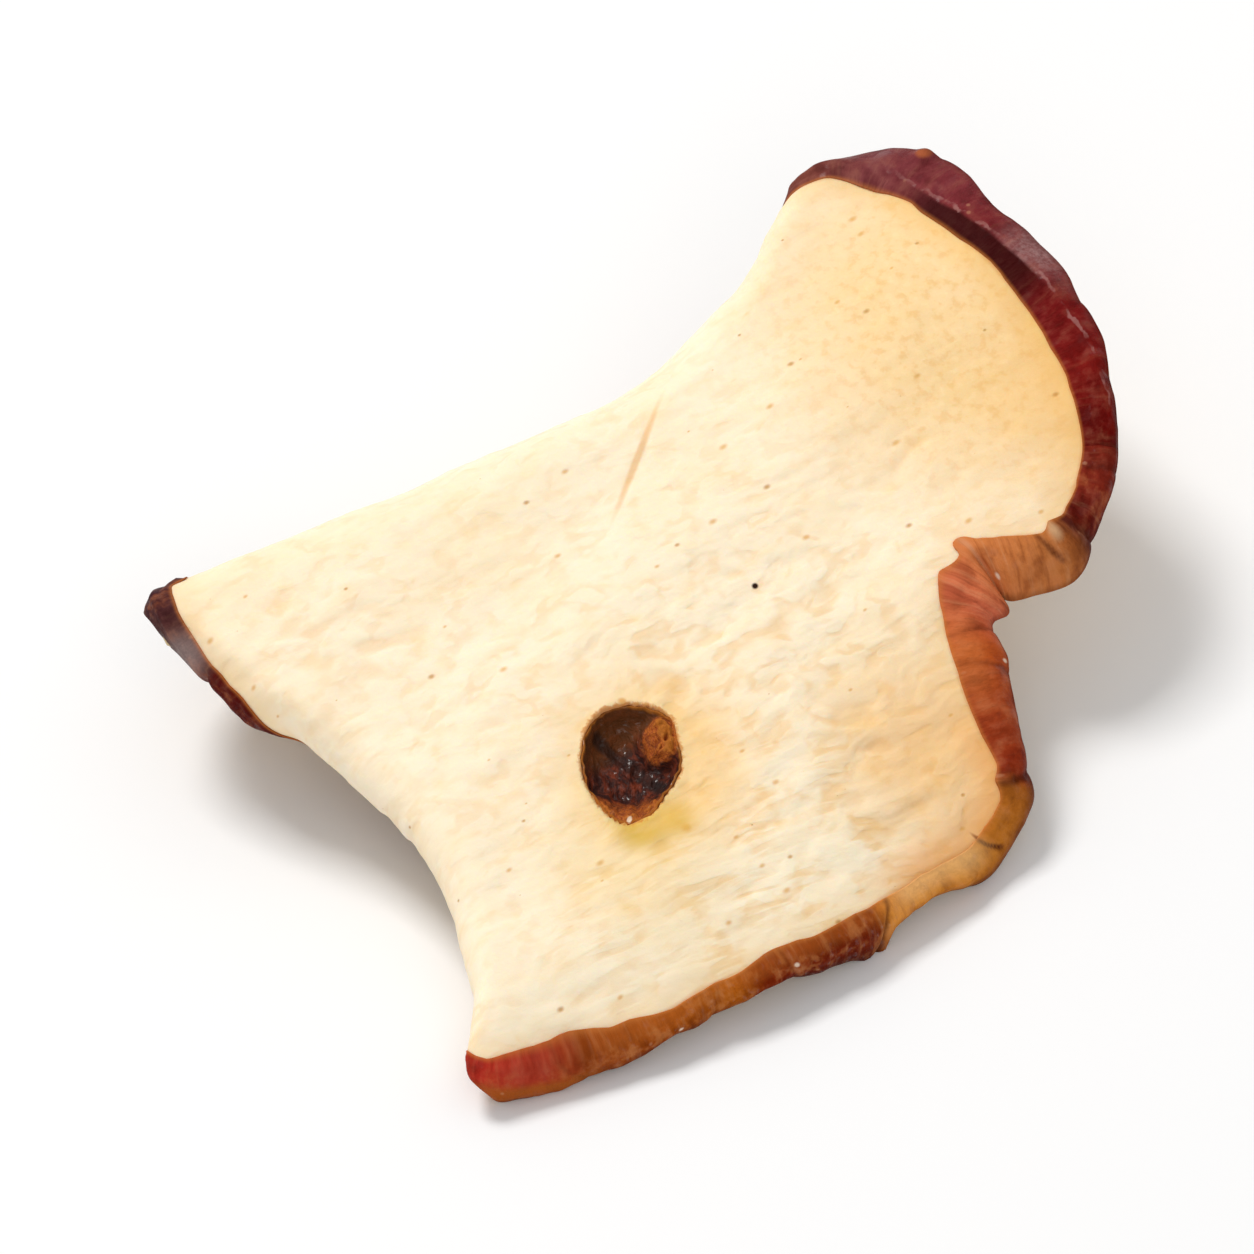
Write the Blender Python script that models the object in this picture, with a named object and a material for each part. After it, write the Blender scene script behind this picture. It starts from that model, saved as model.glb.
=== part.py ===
"""A dried slice of red apple, lying with its cut face up. One solid: the rind is its rim and the seed pocket is a
hollow in it. The slice is first laid out flat, then bent along two folds, then set on the ground."""

import bpy
import numpy as np

MM = 0.001

# All sizes are in millimetres and all angles in degrees.
# Plan of the flat slice: x to the right, y away from the front.

LEAN = 12.0  # how far the face tips towards the front
SIDE_FALL = 0.06  # the face falls this much per millimetre towards the right
MIDDLE = (1.0, 8.0)  # the mesh's spokes run out from here
FLESH = 1.5  # thickness of the dried flesh away from the rim
FLOOR_GRIP = 0.5  # how far the rim is pressed flat where it lies on the ground

# Rim of the flat cut face, counter-clockwise from the right. Each row is a turn of the rim: where it is, how much
# the stretch to the next row bows out, how wide the rind is, how steeply it slopes down, how thick the rim is.
RIM = (
    ("lobe, right", 29.7, 13.6, 0.5, 1.9, 5, 2.4),
    ("lobe, shoulder", 26.9, 22.4, 0.5, 3.4, 2, 2.6),
    ("lobe, crown", 18.6, 32.2, 1.1, 3.4, 6, 2.6),
    ("lobe, left", 11.5, 34.2, 0.2, 1.9, 20, 2.4),
    ("back flap, inner", 3.8, 32.0, 0.8, 2.8, 40, 2.4),
    ("back flap, middle", -7.6, 28.3, 1.0, 2.8, 40, 2.4),
    ("back flap, outer", -18.2, 21.2, 1.0, 2.8, 40, 2.4),
    ("left tip, back", -26.6, 12.2, 0.8, 2.6, 35, 2.2),
    ("left tip", -29.4, 1.2, 0.5, 2.8, 22, 2.2),
    ("left tip, front", -25.6, -6.6, 0.2, 2.6, 34, 2.2),
    ("left fold, back", -22.0, -14.0, 0.6, 2.6, 60, 2.2),
    ("left fold, front", -16.6, -25.0, 0.5, 2.8, 60, 2.2),
    ("front tip", -9.5, -33.5, 1.0, 2.8, 45, 2.4),
    ("front edge", 5.0, -26.8, 0.8, 2.7, 50, 2.6),
    ("corner, front", 19.4, -16.2, 0.9, 2.8, 42, 2.6),
    ("corner, back", 24.6, -9.4, 0.0, 2.5, 34, 2.4),
    ("throat, front", 21.9, -4.0, 0.0, 3.5, 20, 2.4),
    ("throat", 20.3, 2.0, 0.6, 3.8, 28, 2.4),
    ("notch", 21.6, 6.3, 0.1, 4.2, 34, 2.2),
    ("elbow", 27.6, 7.2, 0.3, 3.4, 38, 2.2),
)
ROUNDING = 0.7  # how far the rim's turns are rounded
FAN = 2.4  # how far along the rim the rind's direction is evened out
RIND_BULGE = 0.35
KNUCKLES = ((0.24, 17, 0.4), (0.18, 29, 2.2), (0.14, 43, 4.0))  # swellings of the rind: size, count, start

# A fold has two straight crest lines, each a point and the angle it faces, that meet in a soft corner.
# Radius and bend are given at five places from the left end of its chord to the other.
BACK_FOLD = {
    "crests": ((-14.5, 9.6, 118.3), (6.9, 25.0, 141.4)),
    "corner": 1.5,
    "inset": 0.62,
    "chord": ((-29.0, 2.0), (11.4, 31.0)),
    "radius": (3.0, 4.5, 5.5, 5.0, 1.8),
    "bend": (60, 75, 86, 86, 80),
    "flare": 1.9,
}
LEFT_FOLD = {
    "crests": ((-21.5, -8.9, 226.0), (-11.4, -24.9, 194.4)),
    "corner": 3.0,
    "inset": 1.35,
    "chord": ((-29.0, 0.0), (-10.0, -33.0)),
    "radius": (1.0, 1.4, 2.5, 2.5, 1.2),
    "bend": (50, 60, 135, 140, 90),
    "flare": 1.6,
}
FOLDS = (BACK_FOLD, LEFT_FOLD)
FOLD_PLACES = (0.0, 0.2, 0.4, 0.7, 1.0)
FLARE_FROM, FLARE_OVER = 0.86, 0.16

# Slow rises and falls of the face: where, how high, how broad.
SWELLS = (
    ("lobe lifts", 27.0, 25.0, 2.6, 12.0),
    ("right corner droops", 26.5, -14.5, -4.2, 8.5),
    ("left tip lifts", -29.0, 1.0, 0.4, 8.0),
    ("middle domes", 2.0, -2.0, 0.5, 14.0),
)
FRONT_EDGE = (4.0, -27.0, -62.6)  # a point on the front edge and the angle it faces
FRONT_REACH, FRONT_DROOP = 9.0, 2.0
WAVES = ((0.22, 3.9, 0.6, 4.6, 1.1), (0.16, 2.7, 2.0, -3.3, 0.0))

# Seed pocket: an egg-shaped hollow, narrow end to the front, over a thicker patch of core.
POCKET = (0.2, -11.1)
POCKET_HALF_WIDTH, POCKET_HALF_LENGTH, POCKET_NARROWING = 3.2, 4.4, 0.2
POCKET_WALL = ((1.1, 2.4), (1.06, 1.2), (1.0, 0.1), (0.95, -0.5), (0.86, -1.0), (0.62, -1.4), (0.3, -1.55))
CORE_BULGE, CORE_SPREAD = 1.3, 4.2

# Mesh
FINE = 1600  # points that the rim is worked out at
SPOKES = 168
FACE_RINGS, RIND_RINGS, UNDER_RINGS = 16, 4, 11
RING_CROWDING = 1.4  # rings lie closer towards the rim
POCKET_SPOKES = 28


def ease(t):
    t = np.clip(t, 0, 1)
    return t * t * (3 - 2 * t)


def soft_min(a, b, width):
    share = np.clip(0.5 + 0.5 * (b - a) / width, 0, 1)
    return b * (1 - share) + a * share - width * share * (1 - share)


def facing(x, y, line):
    """Distance of a point beyond a straight line, on the side that the line faces."""
    px, py, angle = line
    angle = np.radians(angle)
    return (x - px) * np.cos(angle) + (y - py) * np.sin(angle)


def height(x, y):
    """Height of the face over its plane before the folds."""
    z = -SIDE_FALL * x
    for _, px, py, up, spread in SWELLS:
        z = z + up * np.exp(-((x - px) ** 2 + (y - py) ** 2) / (2 * spread**2))
    near_front = np.clip(facing(x, y, FRONT_EDGE) / FRONT_REACH + 1, 0, 1.6)
    z = z - FRONT_DROOP * near_front**2
    (a, ax, ap, ay, aq), (b, bx, bp, by, _) = WAVES
    return z + a * np.sin(x / ax + ap) * np.sin(y / ay + aq) + b * np.sin(x / bx + y / by + bp)


def place_along(fold, x, y):
    (x0, y0), (x1, y1) = fold["chord"]
    cx, cy = x1 - x0, y1 - y0
    return ((x - x0) * cx + (y - y0) * cy) / (cx * cx + cy * cy)


def fold_size(fold, key, x, y):
    """A size of the fold, eased between the five places it is given at."""
    u = np.clip(place_along(fold, x, y), 0, 1)
    places, sizes = np.array(FOLD_PLACES), np.array(fold[key], float)
    i = np.minimum(np.searchsorted(places, u, side="right") - 1, len(places) - 2)
    t = ease((u - places[i]) / (places[i + 1] - places[i]))
    return sizes[i] * (1 - t) + sizes[i + 1] * t


def beyond(fold, x, y):
    """How far a flat point lies past the line where the fold begins to bend."""
    first, second = (facing(x, y, crest) for crest in fold["crests"])
    let_go = fold["flare"] * ease((place_along(fold, x, y) - FLARE_FROM) / FLARE_OVER)
    return soft_min(first, second, fold["corner"]) + fold["inset"] * fold_size(fold, "radius", x, y) - let_go


def sheet(x, y):
    """The cut face: where a point of the flat slice goes once the slice has curled."""
    moved = np.stack([x, y, height(x, y)], -1).astype(float)
    step = 1e-3
    for fold in FOLDS:
        d = beyond(fold, x, y)
        gx = (beyond(fold, x + step, y) - beyond(fold, x - step, y)) / (2 * step)
        gy = (beyond(fold, x, y + step) - beyond(fold, x, y - step)) / (2 * step)
        slope = np.hypot(gx, gy)
        radius = fold_size(fold, "radius", x, y)
        bend = np.radians(fold_size(fold, "bend", x, y))
        out = np.clip(d, 0, None)
        turned = np.minimum(out / radius, bend)
        straight = np.clip(out - radius * bend, 0, None)
        reach = radius * np.sin(turned) + straight * np.cos(bend)
        drop = radius * (1 - np.cos(turned)) + straight * np.sin(bend)
        moved[..., 0] += (reach - out) * gx / slope
        moved[..., 1] += (reach - out) * gy / slope
        moved[..., 2] -= drop
    return moved


def unit(v):
    return v / np.linalg.norm(v, axis=-1, keepdims=True)


def outward(x, y):
    """The cut face's normal."""
    step = 0.02
    along_x = sheet(x + step, y) - sheet(x - step, y)
    along_y = sheet(x, y + step) - sheet(x, y - step)
    return unit(np.cross(along_x, along_y))


def evened(values, over, spacing):
    """Values around the rim, evened out over a length of it."""
    for _ in range(max(1, round(2 * (over / spacing) ** 2))):
        values = 0.5 * values + 0.25 * (np.roll(values, 1, 0) + np.roll(values, -1, 0))
    return values


def rim_line():
    """Flat points around the rim, evenly spaced, and for each the row number it has reached in RIM."""
    turns = np.array([row[1:3] for row in RIM])
    line, reached = [], []
    for i, row in enumerate(RIM):
        a, b = turns[i], turns[(i + 1) % len(RIM)]
        t = np.linspace(0, 1, 200, endpoint=False)
        side = np.array([b[1] - a[1], a[0] - b[0]]) / np.hypot(*(b - a))
        line.append(a + np.outer(t, b - a) + np.outer(4 * row[3] * t * (1 - t), side))
        reached.append(i + t)
    line, reached = np.concatenate(line), np.concatenate(reached)
    closed = np.concatenate([line, line[:1]])
    length = np.concatenate([[0], np.cumsum(np.hypot(*np.diff(closed, axis=0).T))])
    even = np.linspace(0, length[-1], FINE, endpoint=False)
    x, y = (np.interp(even, length, closed[:, k]) for k in (0, 1))
    rows = np.interp(even, length, np.append(reached, len(RIM)))
    spacing = length[-1] / FINE
    return evened(np.stack([x, y], -1), ROUNDING, spacing), rows, spacing


def rim_size(rows, column):
    sizes = np.array([row[column] for row in RIM], float)
    i = np.floor(rows).astype(int)
    t = ease(rows - i)
    return sizes[i % len(sizes)] * (1 - t) + sizes[(i + 1) % len(sizes)] * t


def rings_of_slice():
    """Rings of points from the middle of the face, over the rim and back under to the middle, with the two poles."""
    line, rows, spacing = rim_line()
    width, slope, thick = (evened(rim_size(rows, k), 1.0, spacing)[:, None] for k in (4, 5, 6))
    slope = np.radians(slope)
    heading = unit(np.roll(line, -1, 0) - np.roll(line, 1, 0))
    side = np.stack([heading[:, 1], -heading[:, 0]], -1)
    inner = line - 0.3 * side
    edge = sheet(*line.T)
    up = unit(evened(outward(*line.T), FAN, spacing))
    out = unit(evened(edge - sheet(*inner.T), FAN, spacing))
    out = unit(out - up * (out * up).sum(-1, keepdims=True))
    lower = edge + width * (np.cos(slope) * out - np.sin(slope) * up)
    away = np.cos(slope) * up + np.sin(slope) * out
    turn = np.arange(FINE) * 2 * np.pi / FINE
    swell = sum(size * np.sin(count * turn + start) for size, count, start in KNUCKLES)[:, None]
    lower = lower + swell * (0.6 * out - 0.8 * up)
    sunk = edge - thick * up

    pick = np.arange(SPOKES) * FINE // SPOKES
    line, edge, lower, away, sunk, thick = (v[pick] for v in (line, edge, lower, away, sunk, thick))
    middle = np.array(MIDDLE)
    rings = []
    for k in range(1, FACE_RINGS + 1):
        t = 1 - (1 - k / FACE_RINGS) ** RING_CROWDING
        rings.append(sheet(*(middle + (line - middle) * t).T))
    for k in range(1, RIND_RINGS + 1):
        q = k / RIND_RINGS
        rings.append(edge + (lower - edge) * q + RIND_BULGE * 4 * q * (1 - q) * away)
    for k in range(1, UNDER_RINGS):
        t = 1 - 0.035 - 0.965 * (k - 0.6) / (UNDER_RINGS - 0.6)
        flat = middle + (line - middle) * t
        rings.append(underside(flat, thick, t) + ease((t - 0.75) / 0.25) * (lower - sunk))
    poles = [sheet(*middle), underside(middle, FLESH, 0)]
    return rings, poles


def underside(flat, rim_thick, t):
    x, y = flat.T
    core = CORE_BULGE * np.exp(-((x - POCKET[0]) ** 2 + (y - POCKET[1]) ** 2) / (2 * CORE_SPREAD**2))
    deep = FLESH + (rim_thick - FLESH) * ease((t - 0.7) / 0.3) + np.reshape(core, np.shape(rim_thick))
    return sheet(x, y) - deep * outward(x, y)


def stood(points):
    """From the plane of the face to the world, leaning towards the front."""
    lean = np.radians(LEAN)
    x, y, z = np.moveaxis(points, -1, 0)
    return np.stack([x, y * np.cos(lean) - z * np.sin(lean), y * np.sin(lean) + z * np.cos(lean)], -1)


def reshape_sphere(name, segments, ring_points, pole_points):
    """A UV sphere whose rings and poles are moved to the points given, so that the result is closed."""
    count = len(ring_points) + 1
    bpy.ops.mesh.primitive_uv_sphere_add(segments=segments, ring_count=count, radius=1)
    obj = bpy.context.object
    obj.name = obj.data.name = name
    at = np.empty(len(obj.data.vertices) * 3)
    obj.data.vertices.foreach_get("co", at)
    at = at.reshape(-1, 3)
    ring = np.round(np.arccos(np.clip(at[:, 2], -1, 1)) / np.pi * count).astype(int)
    spoke = np.round(np.arctan2(at[:, 1], at[:, 0]) / (2 * np.pi) * segments).astype(int) % segments
    table = np.stack(ring_points)
    moved = table[np.clip(ring - 1, 0, count - 2), spoke]
    moved[ring == 0] = pole_points[0]
    moved[ring == count] = pole_points[1]
    obj.data.vertices.foreach_set("co", (moved * MM).ravel())
    obj.data.update()
    return obj


def pocket_rings():
    """The seed pocket's cutter, from above the face down to the pocket's floor."""
    turn = np.arange(POCKET_SPOKES) * 2 * np.pi / POCKET_SPOKES
    across = POCKET_HALF_WIDTH * np.cos(turn) * (1 + POCKET_NARROWING * np.sin(turn))
    along = POCKET_HALF_LENGTH * np.sin(turn)
    x, y = (np.array([v]) for v in POCKET)
    centre, up = sheet(x, y)[0], outward(x, y)[0]
    right = unit(np.cross([0, 1, 0], up))
    back = np.cross(up, right)
    rings = []
    for share, level in POCKET_WALL:
        rings.append(centre + share * (np.outer(across, right) + np.outer(along, back)) + level * up)
    return rings, [centre + POCKET_WALL[0][1] * up, centre + POCKET_WALL[-1][1] * up]


for obj in list(bpy.data.objects):
    bpy.data.objects.remove(obj)

rings, poles = rings_of_slice()
rings, poles = [stood(ring) for ring in rings], [stood(pole) for pole in poles]
every = np.concatenate(rings)
low, high = every.min(0), every.max(0)
ground = low[2] + FLOOR_GRIP
shift = np.array([(low[0] + high[0]) / 2, (low[1] + high[1]) / 2, ground])
for ring in rings:
    ring -= shift
    ring[:, 2] = np.maximum(ring[:, 2], 0)
poles = [pole - shift for pole in poles]
apple_slice = reshape_sphere("apple_slice", SPOKES, rings, poles)

cut_rings, cut_poles = pocket_rings()
cut_rings, cut_poles = [stood(ring) - shift for ring in cut_rings], [stood(pole) - shift for pole in cut_poles]
cutter = reshape_sphere("pocket_cutter", POCKET_SPOKES, cut_rings, cut_poles)
hollow = apple_slice.modifiers.new("seed pocket", "BOOLEAN")
hollow.operation = "DIFFERENCE"
hollow.solver = "EXACT"
hollow.object = cutter
bpy.context.view_layer.objects.active = apple_slice
bpy.ops.object.modifier_apply(modifier=hollow.name)
bpy.data.objects.remove(cutter)

flesh = bpy.data.materials.new("flesh")
flesh.use_nodes = True
shader = flesh.node_tree.nodes["Principled BSDF"]
shader.inputs["Base Color"].default_value = (0.87, 0.72, 0.49, 1)
shader.inputs["Roughness"].default_value = 0.7
apple_slice.data.materials.clear()
apple_slice.data.materials.append(flesh)

group = bpy.data.collections.new("dried_apple_slice")
bpy.context.scene.collection.children.link(group)
for owner in list(apple_slice.users_collection):
    owner.objects.unlink(apple_slice)
group.objects.link(apple_slice)
print("shift", [round(float(v), 4) for v in shift])
print("size", [round(float(v), 2) for v in high - low])
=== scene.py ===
# %% [markdown]
# # A dried slice of red apple
# The slice was cut lengthwise from a fruit, a little off its middle, and it curled while it dried. Its two
# long sides have rolled down and under, its front edge droops, and at the right the stem's hollow left a
# notch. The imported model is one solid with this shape. Here it gets three pieces that look like the real
# thing: the flesh, the skin round its rim, and the brown lining of the opened seed pocket.

import bpy
import numpy as np
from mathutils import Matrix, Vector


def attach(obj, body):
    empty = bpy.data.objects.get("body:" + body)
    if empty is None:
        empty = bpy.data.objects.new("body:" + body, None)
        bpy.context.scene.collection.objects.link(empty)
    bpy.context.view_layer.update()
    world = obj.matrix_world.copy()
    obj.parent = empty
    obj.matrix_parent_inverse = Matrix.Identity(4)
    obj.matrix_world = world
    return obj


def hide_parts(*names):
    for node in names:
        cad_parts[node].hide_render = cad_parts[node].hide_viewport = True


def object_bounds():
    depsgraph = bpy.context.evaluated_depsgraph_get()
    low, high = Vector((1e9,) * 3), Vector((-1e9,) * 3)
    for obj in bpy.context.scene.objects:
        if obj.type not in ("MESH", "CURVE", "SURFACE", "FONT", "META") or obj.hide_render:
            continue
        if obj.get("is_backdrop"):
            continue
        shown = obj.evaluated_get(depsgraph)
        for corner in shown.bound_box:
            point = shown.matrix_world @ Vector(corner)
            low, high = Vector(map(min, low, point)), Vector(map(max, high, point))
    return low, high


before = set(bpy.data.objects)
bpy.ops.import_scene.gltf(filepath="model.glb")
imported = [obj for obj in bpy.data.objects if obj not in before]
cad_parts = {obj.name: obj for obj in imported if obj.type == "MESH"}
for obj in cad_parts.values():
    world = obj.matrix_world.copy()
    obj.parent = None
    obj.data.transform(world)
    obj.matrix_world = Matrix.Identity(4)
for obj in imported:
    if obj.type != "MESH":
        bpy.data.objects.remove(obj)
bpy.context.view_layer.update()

# %% [markdown]
# ## The shape of the slice
# A slice of fruit starts flat, so the easiest way to describe it is to say where its flat outline runs and
# where it folds. The rim is a table of turns, in millimetres, counter-clockwise from the right. Each row
# says how much the stretch to the next row bows out, how wide the skin is there, how steeply it slopes down
# and how thick the rim is. These are the solid's own values, so that the looks lie where the solid is; only
# the skin at the front edge and the left tip is up to 0.7 mm narrower, as it looks from the camera.

# %% Sizes of the flat slice
MM = 0.001
LEAN = 12.0  # degrees towards the front
SIDE_FALL = 0.06  # millimetres down for each one to the right
MIDDLE = (1.0, 8.0)  # where the spokes of the flesh meet
FLESH = 1.5  # millimetres thick
SHIFT = (0.114, 1.6546, -11.2734)  # taken off at the end, so that the slice stands on the ground
#    turn, x, y, bow of the stretch after it, skin's width, its slope in degrees, thickness of the rim
RIM = (
    ("lobe, right", 29.7, 13.6, 0.5, 1.9, 5, 2.4),
    ("lobe, shoulder", 26.9, 22.4, 0.5, 3.4, 2, 2.6),
    ("lobe, crown", 18.6, 32.2, 1.1, 3.4, 6, 2.6),
    ("lobe, left", 11.5, 34.2, 0.2, 1.9, 20, 2.4),
    ("back flap, inner", 3.8, 32.0, 0.8, 2.8, 40, 2.4),
    ("back flap, middle", -7.6, 28.3, 1.0, 2.8, 40, 2.4),
    ("back flap, outer", -18.2, 21.2, 1.0, 2.8, 40, 2.4),
    ("left tip, back", -26.8, 12.2, 0.8, 2.5, 35, 2.2),
    ("left tip", -30.0, 1.3, 0.5, 2.1, 22, 2.2),
    ("left tip, front", -25.8, -6.7, 0.2, 2.1, 34, 2.2),
    ("left fold, back", -22.0, -14.0, 0.6, 2.6, 60, 2.2),
    ("left fold, front", -16.6, -25.0, 0.5, 2.8, 60, 2.2),
    ("front tip", -9.5, -33.5, 1.0, 2.6, 45, 2.4),
    ("front edge", 5.0, -26.8, 0.8, 2.1, 50, 2.6),
    ("corner, front", 19.4, -16.2, 0.9, 2.4, 42, 2.6),
    ("corner, back", 24.6, -9.4, 0.0, 2.5, 34, 2.4),
    ("throat, front", 21.9, -4.0, 0.0, 3.5, 20, 2.4),
    ("throat", 20.3, 2.0, 0.6, 3.8, 28, 2.4),
    ("notch", 21.6, 6.3, 0.1, 4.2, 34, 2.2),
    ("elbow", 27.6, 7.2, 0.3, 3.4, 38, 2.2),
)
ROUNDING = 0.7  # of the turns, in millimetres
FAN = 2.4  # millimetres of rim over which its directions are evened out
KNUCKLES = ((0.24, 17, 0.4), (0.18, 29, 2.2), (0.14, 43, 4.0))  # height, how many round the rim, start
FINE = 2560  # points round the rim
print("the rim has", len(RIM), "turns")

# %% Sizes of the two folds
BACK_FOLD = {
    "crests": ((-14.5, 9.6, 118.3), (6.9, 25.0, 141.4)),  # two lines: a point, and the direction past it
    "corner": 1.5,  # rounds the bend between the two lines
    "inset": 0.62,  # share of the radius by which the fold starts before them
    "chord": ((-29.0, 2.0), (11.4, 31.0)),  # the radius and the bend change from its one end to the other
    "radius": (3.0, 4.5, 5.5, 5.0, 1.8),
    "bend": (60, 75, 86, 86, 80),
    "flare": 1.9,  # how far the fold lets go at the second end
}
LEFT_FOLD = {
    "crests": ((-21.5, -8.9, 226.0), (-11.4, -24.9, 194.4)),
    "corner": 3.0,
    "inset": 1.35,
    "chord": ((-29.0, 0.0), (-10.0, -33.0)),
    "radius": (1.0, 1.4, 2.5, 2.5, 1.2),
    "bend": (50, 60, 135, 140, 90),
    "flare": 1.6,
}
FOLDS = (BACK_FOLD, LEFT_FOLD)
FOLD_PLACES = (0.0, 0.2, 0.4, 0.7, 1.0)
FLARE_FROM, FLARE_OVER = 0.86, 0.16  # shares of the chord
print("the two folds turn by up to", [max(fold["bend"]) for fold in FOLDS], "degrees")

# %% Slow rises and falls of the face
#    what it does, x, y, height, spread
SWELLS = (
    ("lobe lifts", 27.0, 25.0, 2.6, 12.0),
    ("right corner droops", 26.5, -14.5, -4.2, 8.5),
    ("left tip lifts", -29.0, 1.0, 0.4, 8.0),
    ("middle domes", 2.0, -2.0, 0.5, 14.0),
)
FRONT_EDGE = (4.0, -27.0, -62.6)  # a point, and the direction in which the face droops
FRONT_REACH, FRONT_DROOP = 9.0, 2.0
WAVES = ((0.22, 3.9, 0.6, 4.6, 1.1), (0.16, 2.7, 2.0, -3.3, 0.0))  # height, then length and start in x and y
POCKET = (0.2, -11.1)
POCKET_HALF_WIDTH, POCKET_HALF_LENGTH, POCKET_NARROWING = 3.2, 4.4, 0.2
POCKET_KINKS = (
    (-165, 1.03), (-110, 1.05), (-62, 0.97), (-34, 0.88), (-6, 0.98),
    (28, 0.94), (52, 1.05), (90, 1.0), (140, 0.97), (163, 0.95),
)  # degrees from the right, and how far the edge lies from the plain egg shape
CORE_BULGE, CORE_SPREAD = 1.3, 4.2
print("swells of the face, in mm:", {name: up for name, _, _, up, _ in SWELLS})

# %% [markdown]
# ## From flat to curled
# Each fold rolls what lies past its line round a cylinder, and what lies further still goes straight on, so
# the sheet keeps its length like the real skin-edged flesh does. The two folds are laid over a height that
# rises and falls slowly. At the end the whole slice leans towards the front and stands on the ground.


# %% The cut face as a function of the flat slice
def ease(t):
    t = np.clip(t, 0, 1)
    return t * t * (3 - 2 * t)


def soft_min(a, b, width):
    share = np.clip(0.5 + 0.5 * (b - a) / width, 0, 1)
    return b * (1 - share) + a * share - width * share * (1 - share)


def facing(x, y, line):
    px, py, angle = line
    angle = np.radians(angle)
    return (x - px) * np.cos(angle) + (y - py) * np.sin(angle)


def mound(x, y, px, py, spread):
    return np.exp(-((x - px) ** 2 + (y - py) ** 2) / (2 * spread**2))


def height(x, y):
    z = -SIDE_FALL * x
    for _, px, py, up, spread in SWELLS:
        z = z + up * mound(x, y, px, py, spread)
    near_front = np.clip(facing(x, y, FRONT_EDGE) / FRONT_REACH + 1, 0, 1.6)
    z = z - FRONT_DROOP * near_front**2
    (a, ax, ap, ay, aq), (b, bx, bp, by, _) = WAVES
    return z + a * np.sin(x / ax + ap) * np.sin(y / ay + aq) + b * np.sin(x / bx + y / by + bp)


def place_along(fold, x, y):
    (x0, y0), (x1, y1) = fold["chord"]
    cx, cy = x1 - x0, y1 - y0
    return ((x - x0) * cx + (y - y0) * cy) / (cx * cx + cy * cy)


def fold_size(fold, key, x, y):
    u = np.clip(place_along(fold, x, y), 0, 1)
    places, sizes = np.array(FOLD_PLACES), np.array(fold[key], float)
    i = np.minimum(np.searchsorted(places, u, side="right") - 1, len(places) - 2)
    t = ease((u - places[i]) / (places[i + 1] - places[i]))
    return sizes[i] * (1 - t) + sizes[i + 1] * t


def beyond(fold, x, y):
    first, second = (facing(x, y, crest) for crest in fold["crests"])
    let_go = fold["flare"] * ease((place_along(fold, x, y) - FLARE_FROM) / FLARE_OVER)
    return soft_min(first, second, fold["corner"]) + fold["inset"] * fold_size(fold, "radius", x, y) - let_go


def sheet(x, y):
    moved = np.stack([x, y, height(x, y)], -1).astype(float)
    step = 1e-3
    for fold in FOLDS:
        d = beyond(fold, x, y)
        gx = (beyond(fold, x + step, y) - beyond(fold, x - step, y)) / (2 * step)
        gy = (beyond(fold, x, y + step) - beyond(fold, x, y - step)) / (2 * step)
        slope = np.hypot(gx, gy)
        radius = fold_size(fold, "radius", x, y)
        bend = np.radians(fold_size(fold, "bend", x, y))
        out = np.clip(d, 0, None)
        turned = np.minimum(out / radius, bend)
        straight = np.clip(out - radius * bend, 0, None)
        reach = radius * np.sin(turned) + straight * np.cos(bend)
        drop = radius * (1 - np.cos(turned)) + straight * np.sin(bend)
        moved[..., 0] += (reach - out) * gx / slope
        moved[..., 1] += (reach - out) * gy / slope
        moved[..., 2] -= drop
    return moved


def unit(v):
    return v / np.linalg.norm(v, axis=-1, keepdims=True)


def outward(x, y):
    step = 0.02
    along_x = sheet(x + step, y) - sheet(x - step, y)
    along_y = sheet(x, y + step) - sheet(x, y - step)
    return unit(np.cross(along_x, along_y))


def on_ground(points):
    lean = np.radians(LEAN)
    x, y, z = np.moveaxis(points, -1, 0)
    turned = np.stack([x, y * np.cos(lean) - z * np.sin(lean), y * np.sin(lean) + z * np.cos(lean)], -1)
    turned = turned - SHIFT
    turned[..., 2] = np.maximum(turned[..., 2], 0)
    return turned


corner = on_ground(sheet(np.array([30.0]), np.array([20.0])))[0]
print("the lobe's shoulder is at, in mm:", corner.round(1))

# %% [markdown]
# ## The rim
# Everything that follows the rim is worked out once, at many points round it: where the flesh ends, which
# way is up and out, and where the skin's lower edge runs. The directions are evened out along the rim, so
# that the skin fans round a corner in place of folding over itself. Small knuckles swell its lower edge, as
# they do where skin shrinks.


# %% Points and directions round the rim
def evened(values, over, spacing):
    for _ in range(max(1, round(2 * (over / spacing) ** 2))):
        values = 0.5 * values + 0.25 * (np.roll(values, 1, 0) + np.roll(values, -1, 0))
    return values


def rim_line():
    turns = np.array([row[1:3] for row in RIM])
    line, reached = [], []
    for i, row in enumerate(RIM):
        a, b = turns[i], turns[(i + 1) % len(RIM)]
        t = np.linspace(0, 1, 200, endpoint=False)
        side = np.array([b[1] - a[1], a[0] - b[0]]) / np.hypot(*(b - a))
        line.append(a + np.outer(t, b - a) + np.outer(4 * row[3] * t * (1 - t), side))
        reached.append(i + t)
    line, reached = np.concatenate(line), np.concatenate(reached)
    closed = np.concatenate([line, line[:1]])
    length = np.concatenate([[0], np.cumsum(np.hypot(*np.diff(closed, axis=0).T))])
    even = np.linspace(0, length[-1], FINE, endpoint=False)
    x, y = (np.interp(even, length, closed[:, k]) for k in (0, 1))
    rows = np.interp(even, length, np.append(reached, len(RIM)))
    spacing = length[-1] / FINE
    return evened(np.stack([x, y], -1), ROUNDING, spacing), rows, spacing


def rim_size(rows, sizes):
    sizes = np.array(sizes, float)
    i = np.floor(rows).astype(int)
    t = ease(rows - i)
    return sizes[i % len(sizes)] * (1 - t) + sizes[(i + 1) % len(sizes)] * t


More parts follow.
